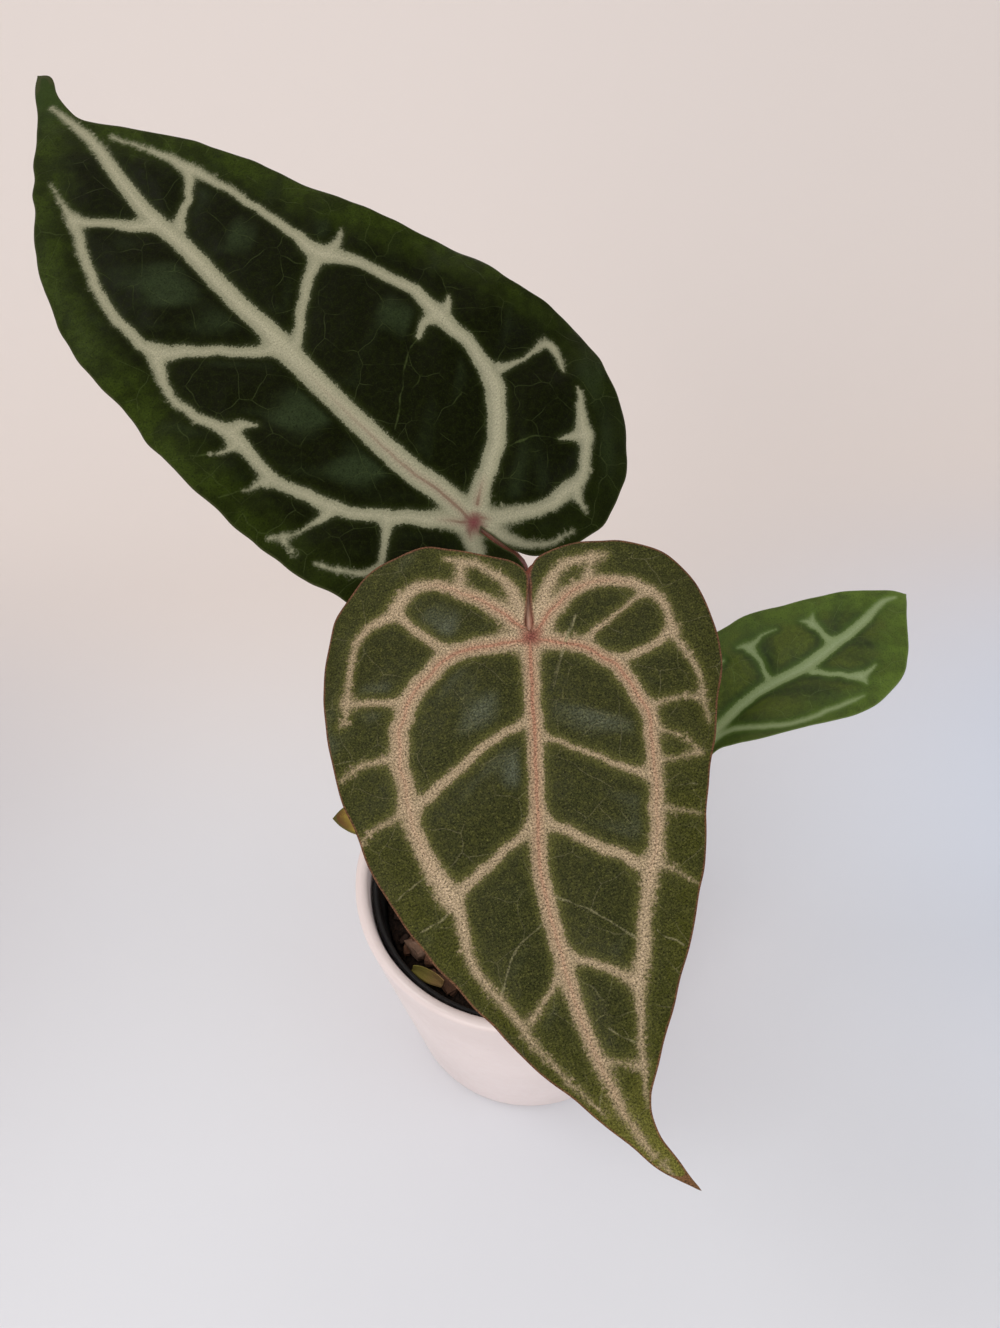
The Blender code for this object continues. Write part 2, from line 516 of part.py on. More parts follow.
def points_inside(points, loop):
    # Even-odd rule
    inside = np.zeros(len(points), bool)
    for a, b in zip(loop, np.roll(loop, -1, axis=0)):
        spans = (a[1] > points[:, 1]) != (b[1] > points[:, 1])
        rise = b[1] - a[1] if abs(b[1] - a[1]) > 1e-12 else 1e-12
        crosses = points[:, 0] < (b[0] - a[0]) * (points[:, 1] - a[1]) / rise + a[0]
        inside ^= spans & crosses
    return inside


def sheath(name, angle, height, half_angle, lean, finish):
    # A pointed papery scale standing in front of the stem, curved round it
    bm = bmesh.new()
    rows, columns = 9, 6
    foot = SOIL_LEVEL + 3.0
    grids = []
    for radius in (SHEATH_RADIUS, SHEATH_RADIUS + SHEATH_THICKNESS):
        grid = []
        for j in range(rows + 1):
            t = j / rows
            spread = half_angle * (1.0 - t ** 2.2) + 1.5
            out = radius + lean * t * t
            row = []
            for i in range(columns + 1):
                a = math.radians(angle + spread * (2 * i / columns - 1))
                row.append(bm.verts.new((out * math.cos(a) * MM, out * math.sin(a) * MM,
                                         (foot + height * t) * MM)))
            grid.append(row)
        grids.append(grid)
    inner, outer = grids
    for j in range(rows):
        for i in range(columns):
            for g in grids:
                bm.faces.new((g[j][i], g[j][i + 1], g[j + 1][i + 1]))
                bm.faces.new((g[j][i], g[j + 1][i + 1], g[j + 1][i]))
        for i in (0, columns):
            bm.faces.new((inner[j][i], inner[j + 1][i], outer[j + 1][i], outer[j][i]))
    for j in (0, rows):
        for i in range(columns):
            bm.faces.new((inner[j][i], inner[j][i + 1], outer[j][i + 1], outer[j][i]))
    return add_object(name, mesh_from(bm, name), finish)


def shed_sheath(finish):
    # A curled strip lying on the soil
    bm = bmesh.new()
    rows, columns = 10, 4
    turn = Matrix.Rotation(math.radians(SHED_TURN), 4, "Z")
    grids = []
    for lift in (0.0, SHEATH_THICKNESS):
        grid = []
        for j in range(rows + 1):
            t = j / rows
            half = SHED_WIDTH / 2 * math.sin(math.pi * (0.12 + 0.80 * t)) ** 0.7
            row = []
            for i in range(columns + 1):
                s = 2 * i / columns - 1
                x = (t - 0.5) * SHED_LENGTH
                z = SOIL_LEVEL + SHED_HEIGHT + 1.1 * s * s + 1.6 * (t - 0.5) ** 2 + lift
                spot = turn @ Vector((x, s * half, 0))
                row.append(bm.verts.new(((spot.x + SHED_PLACE[0]) * MM, (spot.y + SHED_PLACE[1]) * MM, z * MM)))
            grid.append(row)
        grids.append(grid)
    lower, upper = grids
    for j in range(rows):
        for i in range(columns):
            for g in grids:
                bm.faces.new((g[j][i], g[j][i + 1], g[j + 1][i + 1]))
                bm.faces.new((g[j][i], g[j + 1][i + 1], g[j + 1][i]))
        for i in (0, columns):
            bm.faces.new((lower[j][i], lower[j + 1][i], upper[j + 1][i], upper[j][i]))
    for j in (0, rows):
        for i in range(columns):
            bm.faces.new((lower[j][i], lower[j][i + 1], upper[j][i + 1], upper[j][i]))
    return add_object("shed_sheath", mesh_from(bm, "shed_sheath"), finish)


def main():
    clear_scene()
    ceramic = material("white_ceramic", (0.80, 0.73, 0.70), 0.35)
    black_plastic = material("black_plastic", (0.015, 0.015, 0.015), 0.5)
    bark = material("bark_soil", (0.09, 0.055, 0.035), 0.9)
    stem_green = material("stem_green", (0.20, 0.23, 0.09), 0.6)
    stalk_red = material("stalk_red", (0.22, 0.07, 0.05), 0.35)
    papery = material("dry_sheath", (0.36, 0.24, 0.12), 0.8)
    greens = {"leaf_1": (0.10, 0.12, 0.05), "leaf_2": (0.02, 0.05, 0.02),
              "leaf_3": (0.07, 0.14, 0.03), "leaf_4": (0.12, 0.14, 0.04)}

    cover_pot(ceramic)
    liner_pot(black_plastic)
    soil(bark)
    stem(stem_green)
    for name, spec in STALKS.items():
        stalk(name, spec, stalk_red)
    for name, spec in LEAVES.items():
        blade(name, spec, material(name + "_velvet", greens[name], 0.5))
    for name, shape in SHEATHS.items():
        sheath(name, *shape, papery)
    shed_sheath(papery)


main()
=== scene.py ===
import math
import random
from contextlib import contextmanager

import bmesh
import bpy
import numpy as np
from mathutils import Matrix, Vector, noise
from mathutils.geometry import delaunay_2d_cdt


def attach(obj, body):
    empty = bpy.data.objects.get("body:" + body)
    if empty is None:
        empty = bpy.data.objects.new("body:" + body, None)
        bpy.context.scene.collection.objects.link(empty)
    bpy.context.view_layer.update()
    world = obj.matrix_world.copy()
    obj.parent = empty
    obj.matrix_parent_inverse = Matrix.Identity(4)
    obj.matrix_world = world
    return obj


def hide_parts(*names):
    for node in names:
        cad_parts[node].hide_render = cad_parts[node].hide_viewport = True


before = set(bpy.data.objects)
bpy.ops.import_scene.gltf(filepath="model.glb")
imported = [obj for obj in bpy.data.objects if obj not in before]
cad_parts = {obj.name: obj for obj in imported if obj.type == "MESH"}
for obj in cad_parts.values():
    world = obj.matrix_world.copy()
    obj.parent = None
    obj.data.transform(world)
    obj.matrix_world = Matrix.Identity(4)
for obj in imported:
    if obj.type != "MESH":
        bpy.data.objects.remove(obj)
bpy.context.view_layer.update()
mm = 0.001


def newItem(name, data):
    item = bpy.data.objects.new(name, data)
    bpy.context.scene.collection.objects.link(item)
    return item


def hexColour(text):
    # a colour given as hex in the colour wheel, as Blender stores it
    parts = [int(text[k:k + 2], 16) / 255 for k in (0, 2, 4)]
    return tuple(c / 12.92 if c <= 0.04045 else ((c + 0.055) / 1.055) ** 2.4 for c in parts) + (1.0,)


# Camera and light

camera = dict(place=(-0.00221, -0.14215, 0.32077), turn=(41.154, 2.575, -2.943), lens=28.464,
              sensor=36, near=0.01)

lamps = dict(
    overhead=dict(place=(-0.12, -0.02, 1.05), aim=(0, 0, 0.12), size=1.2, power=2.8,
                  colour=(1.0, 0.97, 0.93)),
    window=dict(place=(-0.55, -0.95, 0.55), aim=(0, 0, 0.1), size=0.8, power=5.6,
                colour=(1.0, 0.94, 0.9)),
    lamp=dict(place=(-0.38, 0.02, 0.85), aim=(0, 0, 0.15), size=0.22, power=0.8,
              colour=(0.95, 0.97, 1.0)),
    fill=dict(place=(0.8, -0.3, 0.4), aim=(0, 0, 0.1), size=0.8, power=1.6,
              colour=(0.9, 0.95, 1.0)))
sky = dict(colour=(0.92, 0.93, 0.97, 1), strength=0.56)


def makeCamera():
    data = bpy.data.cameras.new("photoCamera")
    data.lens = camera["lens"]
    data.sensor_width = camera["sensor"]
    data.clip_start = camera["near"]
    item = newItem("photoCamera", data)
    item.location = camera["place"]
    item.rotation_euler = [math.radians(a) for a in camera["turn"]]
    bpy.context.scene.camera = item


def makeLights():
    for name, spec in lamps.items():
        data = bpy.data.lights.new(name, "AREA")
        data.shape = "DISK"
        data.size = spec["size"]
        data.energy = spec["power"]
        data.color = spec["colour"]
        item = newItem(name, data)
        item.location = spec["place"]
        item.rotation_euler = (Vector(spec["aim"]) - item.location).to_track_quat("-Z", "Y").to_euler()
    world = bpy.data.worlds.new("softRoom")
    bpy.context.scene.world = world
    world.use_nodes = True
    room = world.node_tree.nodes["Background"]
    room.inputs["Color"].default_value = sky["colour"]
    room.inputs["Strength"].default_value = sky["strength"]
    bpy.context.scene.view_settings.view_transform = "Standard"


# Nodes

class Signal:
    # a value in a node tree, where arithmetic adds Math nodes
    def __init__(self, tree, socket):
        self.tree = tree
        self.socket = socket

    def __add__(self, other):
        return calc("ADD", self, other)

    def __radd__(self, other):
        return calc("ADD", other, self)

    def __sub__(self, other):
        return calc("SUBTRACT", self, other)

    def __rsub__(self, other):
        return calc("SUBTRACT", other, self)

    def __mul__(self, other):
        return calc("MULTIPLY", self, other)


def setInputs(tree, made, inputs):
    # a signal is linked, and a text is a hex colour
    for key, value in inputs.items():
        if isinstance(value, Signal):
            tree.links.new(value.socket, made.inputs[key])
        else:
            made.inputs[key].default_value = hexColour(value) if isinstance(value, str) else value


def addNode(tree, kind, inputs=None, **settings):
    made = tree.nodes.new(kind)
    for key, value in settings.items():
        setattr(made, key, value)
    setInputs(tree, made, inputs or {})
    return made


def signal(tree, kind, output, inputs=None, **settings):
    return Signal(tree, addNode(tree, kind, inputs, **settings).outputs[output])


def treeOf(*values):
    return next(value.tree for value in values if isinstance(value, Signal))


def calc(operation, first, second=0.0, clamp=False):
    return signal(treeOf(first, second), "ShaderNodeMath", 0, {0: first, 1: second},
                  operation=operation, use_clamp=clamp)


def fade(value, start, end, low=0.0, high=1.0):
    # goes smoothly from low at start to high at end
    return signal(value.tree, "ShaderNodeMapRange", "Result",
                  {"Value": value, "From Min": start, "From Max": end, "To Min": low, "To Max": high},
                  interpolation_type="SMOOTHSTEP")


def mix(amount, first, second, mode="MIX"):
    return signal(treeOf(amount, first, second), "ShaderNodeMix", 2, {0: amount, 6: first, 7: second},
                  data_type="RGBA", blend_type=mode)


def noiseAt(place, scale, detail=3.0, rough=0.55, distortion=0.0):
    return signal(place.tree, "ShaderNodeTexNoise", "Fac",
                  {"Vector": place, "Scale": scale, "Detail": detail, "Roughness": rough,
                   "Distortion": distortion})


def cellsAt(place, scale, **settings):
    return signal(place.tree, "ShaderNodeTexVoronoi", "Distance", {"Vector": place, "Scale": scale},
                  **settings)


def stretch(place, scale):
    return signal(place.tree, "ShaderNodeMapping", 0, {"Vector": place, "Scale": scale})


def axis(place, letter):
    return signal(place.tree, "ShaderNodeSeparateXYZ", letter, {0: place})


def combine(first, second):
    return signal(first.tree, "ShaderNodeCombineXYZ", 0, {0: first, 1: second})


def attribute(tree, name):
    return signal(tree, "ShaderNodeAttribute", "Fac", attribute_name=name)


# Materials and node groups

def newMaterial(name, settings):
    made = bpy.data.materials.new(name)
    made.use_nodes = True
    setInputs(made.node_tree, made.node_tree.nodes["Principled BSDF"], settings)
    return made


def objectPlace(made):
    return signal(made.node_tree, "ShaderNodeTexCoord", "Object")


def finishMaterial(made, colour, rough, height, strength, distance):
    tree = made.node_tree
    normal = signal(tree, "ShaderNodeBump", "Normal",
                    {"Height": height, "Strength": strength, "Distance": distance})
    setInputs(tree, tree.nodes["Principled BSDF"],
              {"Base Color": colour, "Roughness": rough, "Normal": normal})
    return made


def labelOf(key):
    # cellDark becomes Cell Dark
    return "".join(" " + c if c.isupper() else c for c in key).title()


def newGroup(name, colours, amounts=()):
    # a node group with colour and number inputs that puts out a colour, a roughness and a height
    group = bpy.data.node_groups.new(name, "ShaderNodeTree")
    for keys, kind in ((colours, "NodeSocketColor"), (amounts, "NodeSocketFloat")):
        for key in keys:
            group.interface.new_socket(labelOf(key), in_out="INPUT", socket_type=kind)
    for label, kind in (("Color", "Color"), ("Roughness", "Float"), ("Height", "Float")):
        group.interface.new_socket(label, in_out="OUTPUT", socket_type="NodeSocket" + kind)
    given = group.nodes.new("NodeGroupInput")
    return group, {key: Signal(group, given.outputs[labelOf(key)]) for key in (*colours, *amounts)}


def finishGroup(group, colour, rough, height):
    out = group.nodes.new("NodeGroupOutput")
    setInputs(group, out, {"Color": colour, "Roughness": rough, "Height": height})
    return group


def groupMaterial(made, group, look, strength, distance):
    placed = addNode(made.node_tree, "ShaderNodeGroup", node_tree=group)
    setInputs(made.node_tree, placed, {labelOf(key): value for key, value in look.items()})
    results = [Signal(made.node_tree, placed.outputs[key]) for key in ("Color", "Roughness", "Height")]
    return finishMaterial(made, *results, strength, distance)


# Leaf pattern

# The look of each upper face, for the front, back, side and old leaf in turn
leafColours = dict(
    cellDark=("2b2d13", "090c00", "1d2b0c", "46562a"),
    cellLight=("4b4b22", "181e02", "3b5119", "64753c"),
    border=("3c3d0e", "2e3a0b", "576f20", "586a30"),
    speck=("77713f", "303c10", "5a6f2e", "7c8a4a"),
    vein=("b49e82", "a39e84", "8c9a72", "8f9a66"),
    veinFringe=("716548", "61644a", "5d7038", "7c8a50"),
    core=("93604c", "6b4a3d", "7c7a50", "7c7a50"),
    joint=("6b3833", "6e3a3c", "84805a", "84805a"),
    tip=("65622a", "2c3a18", "788c48", "6b4a28"),
    fading=("a8913f", "a8913f", "a8913f", "a8913f"),
    margin=("6a4333", "3a3d22", "5d6f38", "5a5a2c"),
    net=("878060", "434d28", "72854a", "72804a"),
    # painted sheen: the colour of the grey highlight painted on the backs of the folds
    bloom=("63695c", "2f3a22", "5f6b1e", "5f7a45"))
leafAmounts = dict(
    feather=(0.75, 0.6, 0.15, 0.3),
    velvetGrain=(3.2, 0.8, 0.4, 0.5),
    edgeGrain=(1.4, 0.7, 0.5, 0.8),
    veinGrain=(0.9, 0.35, 0.25, 0.3),
    netAmount=(0.2, 0.3, 0.2, 0.3),
    speckAmount=(0.58, 0.4, 0.1, 0.25),
    borderAmount=(0.65, 0.9, 0.75, 0.4),
    coreAmount=(0.8, 0.8, 0.4, 0.4),
    tipAmount=(0.85, 0.7, 0.6, 1.0),
    fadingAmount=(0, 0, 0, 0.95),
    # how strongly the painted grey sheen, a highlight, shows
    bloomAmount=(0.5, 0.7, 0.45, 0.2),
    veinRoughness=(0.62, 0.6, 0.55, 0.55),
    cellRoughness=(0.42, 0.4, 0.45, 0.5))

# The same for the lower faces, where they differ
underColours = dict(
    cellDark=("7c7f58", "5d6b42", "6f8150", "74804f"),
    cellLight=("8c8f66", "6d7a4f", "7f915c", "84905c"),
    border=("84875c", "647248", "788a56", "7a8654"),
    speck=("9a9c74", "7d8a5c", "90a06c", "949c6c"),
    vein=("a59c78", "8f9a70", "9aa87c", "9aa478"),
    veinFringe=("98966e", "7f8a60", "8c9a6a", "8c9868"),
    core=("9a6f5a", "86604c", "8a8058", "8a8058"))

# How every lower face differs from the upper one, apart from its colours
underAmounts = dict(feather=0.3, velvetGrain=0.3, speckAmount=0.1, netAmount=0.5, tipAmount=0.2,
                    coreAmount=0.3)
underGloss = 0.3
underSheen = 0.02


def leafPatternGroup():
    # Blade colours from the distances that each blade carries, in mm: pale veins with feathery
    # edges, dark cells with a fine net, velvet specks, a lighter border and a thin margin
    group, g = newGroup("leafPattern", leafColours, leafAmounts)
    flat = signal(group, "ShaderNodeUVMap", "UV", uv_map="leafUv")
    place = signal(group, "ShaderNodeVectorMath", "Vector", {0: flat, "Scale": 100.0}, operation="SCALE")
    across = axis(place, "X")
    along = axis(place, "Y")
    centre = signal(group, "ShaderNodeVectorMath", "Value", {0: place}, operation="LENGTH")
    toVein = attribute(group, "veinDistance")
    toEdge = attribute(group, "edgeDistance")
    grain = noiseAt(place, 2.7, 2.0, 0.85)
    fine = noiseAt(place, 3.8, 3.0, 0.85)
    blotch = noiseAt(place, 0.9, 3.0, 0.6)
    patches = noiseAt(place, 0.2, 2.0)
    wander = noiseAt(place, 0.5) - 0.5

    # short fibres across the edge of a vein, longer and softer where it runs near the rim
    rimReach = (4.0, 11.0)
    fibres = combine(attribute(group, "veinRun") * 1.15, toVein * 0.7)
    feather = 0.5 - noiseAt(fibres, 1.0, 4.0, 0.7)
    feather = feather + calc("MINIMUM", feather, 0.0) * 1.2
    ragged = fade(noiseAt(place, 0.3, 1.0), 0.35, 0.65, 0.8, 3.2) * fade(toEdge, *rimReach, 1.0, 0.2)
    shift = (feather * ragged + wander * 0.7) * g["feather"]
    edge = toVein + shift + (grain - 0.5) * 1.5 + (fine - 0.5) * g["edgeGrain"]
    loose = fade(toEdge, *rimReach, 1.0, 0.0)
    onVein = fade(edge, -0.25 - loose * 0.4, 0.08 + loose * 0.3, 1.0, 0.0)
    fringe = fade(edge, -0.2, 0.7, 1.0, 0.0)

    # cells, darker in the middle, and a lighter border that comes and goes
    cell = mix(fade(toVein + patches * 1.6, 0.4, 2.4), g["cellLight"], g["cellDark"])
    border = fade(toEdge + wander * 6.0, 1.5, 9.0, 1.0, 0.0)
    border = border * fade(along, -5.0, 45.0, 0.3, 1.0)
    border = border * fade(patches, 0.35, 0.6, 0.45, 1.0)
    cell = mix(border * g["borderAmount"], cell, g["border"])
    cell = mix(fade(blotch, 0.42, 0.7, 0.0, 0.45), cell, g["cellLight"])

    # fold lines that run out from the midrib towards the tip, with a painted grey sheen, a highlight, on
    # their backs
    slant = along - calc("ABSOLUTE", across) * 0.75
    folds = noiseAt(combine(slant * 0.12, across * 0.05), 1.0, 1.0)
    bloom = fade(folds + attribute(group, "bloomShare") * 0.4, 0.66, 1.0) * fade(toVein, 0.4, 2.2)
    bloom = bloom * fade(border, 0.1, 0.7, 1.0, 0.2)
    bloom = bloom * fade(blotch, 0.3, 0.6, 0.75, 1.0)
    cell = mix(bloom * g["bloomAmount"], cell, g["bloom"])
    cell = mix(fade(grain, 0.3, 0.5, 0.7, 0.0), cell, g["cellDark"])
    cell = mix(fade(fine, 0.54, 0.72) * g["speckAmount"], cell, g["speck"])

    # the net of hair-fine veins, coarse and close, and the threads that are drawn one by one
    bent = signal(group, "ShaderNodeTexNoise", "Color", {"Vector": place, "Scale": 0.22, "Detail": 1.0})
    netPlace = signal(group, "ShaderNodeVectorMath", "Vector", {0: bent, 1: (2.6, 2.6, 2.6), 2: place},
                      operation="MULTIPLY_ADD")
    flatCells = dict(feature="DISTANCE_TO_EDGE", voronoi_dimensions="2D")
    coarse = fade(cellsAt(netPlace, 0.15, **flatCells), 0.003, 0.018, 1.0, 0.0)
    coarse = coarse * fade(noiseAt(place, 0.16, 2.0), 0.38, 0.58)
    close = fade(cellsAt(netPlace, 0.5, **flatCells), 0.01, 0.07, 1.0, 0.0) * 0.12
    net = calc("MAXIMUM", coarse, close)
    thread = fade(attribute(group, "threadDistance") + wander * 0.8, -0.15, 0.16, 1.0, 0.0)
    lines = calc("MAXIMUM", net * g["netAmount"], thread * 0.5)
    cell = mix(lines * fade(grain, 0.25, 0.5, 0.5, 1.0), cell, g["net"])

    # pale veins, brightest along the middle, with dark grain and a coloured core line
    vein = mix(fade(toVein, -1.7, 0.0, 0.0, 0.5), g["vein"], g["veinFringe"])
    vein = mix(fade(fine, 0.36, 0.54, 1.0, 0.0) * g["veinGrain"], vein, g["veinFringe"])
    vein = mix(fade(grain, 0.34, 0.5, 0.35, 0.0), vein, g["veinFringe"])
    toCore = attribute(group, "coreDistance") + wander * 0.25
    coreFade = attribute(group, "coreFade")
    core = calc("ADD", fade(toCore, 0.1, 0.4, 0.5, 0.0) * coreFade,
                fade(toCore, 0.3, 1.3, 0.42, 0.0) * coreFade, True)
    core = calc("MAXIMUM", core, fade(centre + wander * 3.0, 0.4, 3.0, 1.0, 0.0))
    vein = mix(core * g["coreAmount"], vein, g["core"])
    # the spot where the stalk joins
    vein = mix(fade(centre + wander + grain * 1.6, 0.2, 3.6, 1.0, 0.0), vein, g["joint"])
    colour = mix(onVein, mix(fringe * 0.2, cell, g["veinFringe"]), vein)

    # an old scratch that healed pale, the yellowing, the tip and the thin margin
    scar = fade(attribute(group, "scarDistance") + wander * 0.5, -0.1, 0.25, 0.75, 0.0)
    colour = mix(scar, colour, g["net"])
    tipShare = attribute(group, "tipShare")
    tip = tipShare + wander * 0.5
    colour = mix(fade(tip, 0.1, 0.5) * g["fadingAmount"], colour, g["fading"])
    colour = mix(fade(tip, 0.3, 1.0) * g["tipAmount"] * (1.0 - onVein * 0.7), colour, g["tip"])
    margin = toEdge + wander * 0.3 - fade(tipShare, 0.96, 1.0, 0.0, 0.6)
    colour = mix(fade(margin, 0.1, 0.4, 0.75, 0.0), colour, g["margin"])

    # the light and dark points of the velvet
    velvet = (noiseAt(place, 3.2, 1.0, 0.9) - 0.5) * g["velvetGrain"]
    colour = mix(1.0, colour, 1.0 + velvet, "MULTIPLY")

    rough = signal(group, "ShaderNodeMix", 0, {0: onVein, 2: g["cellRoughness"], 3: g["veinRoughness"]})
    rough = rough + (blotch - 0.5) * 0.35
    height = grain * 0.5 + folds * 4.0 - net * 0.4 + onVein * 0.2
    return finishGroup(group, colour, rough, height)


# Leaves

# Each blade lies in its own plane, in mm: y runs from the stalk's joint to the tip, z out of
# the upper face. plus and minus are its two edges from the notch round the lobe to the tip.
# Veins are (x, y, width) along each vein: mid, main, branch and thread by size. coreSpan is how
# far the coloured core line runs along the midrib, the two largest main veins and the others.
# Near the end of each, the sheen base and sheen spots set where the painted grey sheen, a highlight, is
# strongest.
frontLeaf = dict(
    node="leaf_1", slot="leaf_bronze_green", joint=(3.0, -30.5, 199.5), heading=-75.5, rise=-30.0,
    roll=-9.0, length=84.3, arch=6.0, fold=0.12, sag=0.0045, cup=0.0, wave=(0.8, 22.0, 28.0), ripple=0.3,
    webbing=0.9, veinHalf=0.41,
    plus=[(0.1, -0.9), (0.35, -2.4), (-0.6, -4.8), (-1.65, -7.5), (-2.35, -10.4), (-0.8, -13), (2.5, -15),
        (8.5, -18), (13, -19.5), (19, -18.8), (24, -16.5), (29.5, -12), (33, -5), (34.5, 3), (35.2, 10.5),
        (35, 17), (33.5, 23), (32.6, 30), (30.5, 36), (27, 44), (22.5, 52.5), (17.7, 61), (13.5, 67),
        (9, 73.5), (4.6, 80), (0, 84.3)],
    minus=[(-0.3, -0.9), (-1.0, -2.4), (-1.35, -4.8), (-2.1, -7.5), (-2.85, -10.4), (-4.6, -12.4),
        (-8, -13), (-11.5, -12.9), (-15, -12), (-19, -10.8), (-24.5, -7), (-27, -2), (-27.5, 5.5),
        (-26.5, 13), (-23, 20.5), (-18.4, 29.4), (-14.8, 39), (-10.1, 47.6), (-5.6, 55), (1.3, 66.5),
        (3.1, 70), (3.6, 73), (2.4, 78), (0, 84.3)],
    mid=[(0.5, 0.5, 2.5), (2, 7, 3.1), (3.5, 13, 3.2), (6.5, 25, 3.1), (9, 35, 3.2), (9.5, 45, 3.3),
        (9.5, 55, 2.8), (8.5, 64.5, 2.4), (6.5, 74, 1.9), (3, 81.5, 1.1)],
    main=[[(0.5, 0.5, 3), (8.5, -0.5, 3.2), (12.5, -0.5, 3.6), (16, 1, 3.9), (21.5, 5.5, 4),
        (24.5, 12.5, 3.7), (25, 25.5, 3.2), (23, 34.5, 4), (22, 37.5, 2.6), (22, 45, 1.8),
        (19, 52.5, 1.6), (15, 61.5, 1.0), (10, 70.5, 0.4)], [(0, 0.5, 2.5), (-6.5, 4, 2.6), (-11, 9, 3.1),
        (-13, 15.5, 3.1), (-13, 19, 3), (-11, 27, 2.6), (-8.5, 35.5, 2.9), (-7, 38, 3.4), (-4, 44, 2.5),
        (-1.5, 50.5, 2.7), (0, 53.5, 2.3), (1.5, 59.5, 1.3), (3, 65.5, 1.1), (4, 70.5, 0.3)],
        [(0.5, -1, 2.6), (5, -7, 2.7), (10, -11.5, 2.5), (13, -13, 2.4), (16, -13, 2.7), (19, -11.5, 3),
        (21, -10, 2.4), (26.5, -8, 1.6), (29.5, -1.5, 1.4), (31, 4, 1), (32.5, 5.5, 0.6)],
        [(-1, -0.5, 3.3), (-4, -3, 2.8), (-9.5, -5.5, 2.4), (-13, -5.5, 2.4), (-18, -3.5, 2.5),
        (-21, 1, 2), (-21, 7, 1.6), (-22.5, 13.5, 1.1), (-21.5, 21, 0.5)]],
    branch=[[(-7.5, 3.6, 1.2), (-11.5, 1.5, 1), (-17, -0.8, 0.9), (-19.4, -1.2, 1.2)],
        [(19.5, -10.5, 1.9), (18.5, -8, 1.9), (15, -3, 2), (13, -1, 2)], [(31, 2, 1.2), (27, 3, 1.5),
        (22, 5, 1.4)], [(0.5, -3, 1.3), (0.5, -6.5, 1.3), (1.5, -10, 1.3), (4.5, -14, 1.4),
        (6.5, -15, 1.5), (9.5, -16.5, 0.8)], [(7.5, -14.5, 1.6), (8.5, -11, 1.8)], [(-21, 6, 1.6),
        (-16, 7.5, 1.7), (-11.5, 8, 1.7)], [(-1.5, -2.5, 1.6), (-5, -7.5, 1.7), (-7.5, -9.5, 1.7),
        (-10.5, -10, 1.7), (-15, -9.5, 1)], [(-13, -10, 1.3), (-11, -6, 1.4)], [(3.5, 13, 1.6),
        (10, 14.5, 1.7), (18, 18, 2), (25, 21.5, 2.4)], [(7.5, 28, 1.8), (13, 30.5, 1.7), (22, 35, 2.3)],
        [(10.5, 49.5, 1.1), (13.5, 52.5, 1.1), (16, 55, 1.3)], [(2.5, 16, 1.1), (-1, 19, 1.1),
        (-5, 22, 1.2), (-10.5, 26.5, 1.8)], [(6, 28.5, 1.9), (2, 32, 1.9), (-5, 38, 2.3)],
        [(8.5, 47.5, 1.7), (4, 50.5, 1.5), (0, 53.5, 2)], [(25.5, 12.5, 1.4), (31.5, 12.5, 1.1),
        (34.5, 14, 0.8)], [(25.5, 21, 1.2), (31, 22.5, 0.9), (33.5, 24, 0.6)], [(-13.5, 16, 1.1),
        (-18, 16.2, 0.8), (-21.5, 17, 0.7)], [(-13.2, 19.5, 0.8), (-17, 22.3, 0.5), (-18.6, 25, 0.3)],
        [(-12, 24.3, 0.9), (-15.5, 25, 0.5), (-18.5, 25, 0.3)], [(-9.5, 31, 0.8), (-13, 32, 0.5),
        (-16, 33.5, 0.3)], [(-7.6, 38.3, 0.9), (-10, 40.5, 0.5), (-12.5, 43.5, 0.2)], [(8, 62.5, 1),
        (5.5, 63.8, 0.7), (3.2, 65.3, 0.9)]],
    thread=[[(-4.5, 47.5, 0.6), (-7.5, 50.5, 0.3)], [(-11, 28, 0.5), (-16.5, 29.5, 0.3)],
        [(24.5, 30.5, 0.7), (31, 33.5, 0.3)], [(23, 37, 0.6), (28, 38.5, 0.3)], [(11, 42, 0.7),
        (15.5, 44.5, 0.6), (19.5, 50, 0.4)], [(9.5, 67, 0.4), (10.5, 69, 0.4)], [(8.5, 38.5, 0.7),
        (2.5, 43.5, 0.6), (-2, 48.5, 0.6)], [(6, 58.5, 0.3), (2.5, 62, 0.3)]],
    scar=[[(-7.5, -1, 0.4), (-6, 1, 0.5), (-3.5, 4.5, 0.5), (-2, 7, 0.4), (-0.5, 9.5, 0.3)]],
    coreSpan=(70, 46, 18), tipStart=52, tipEnd=82, paintedSheenBase=0.25, paintedSheenSpots=[(11, 9, 6), (8, 20, 5),
    (15, -6.5, 5), (26, 3, 4)], gloss=0.08)

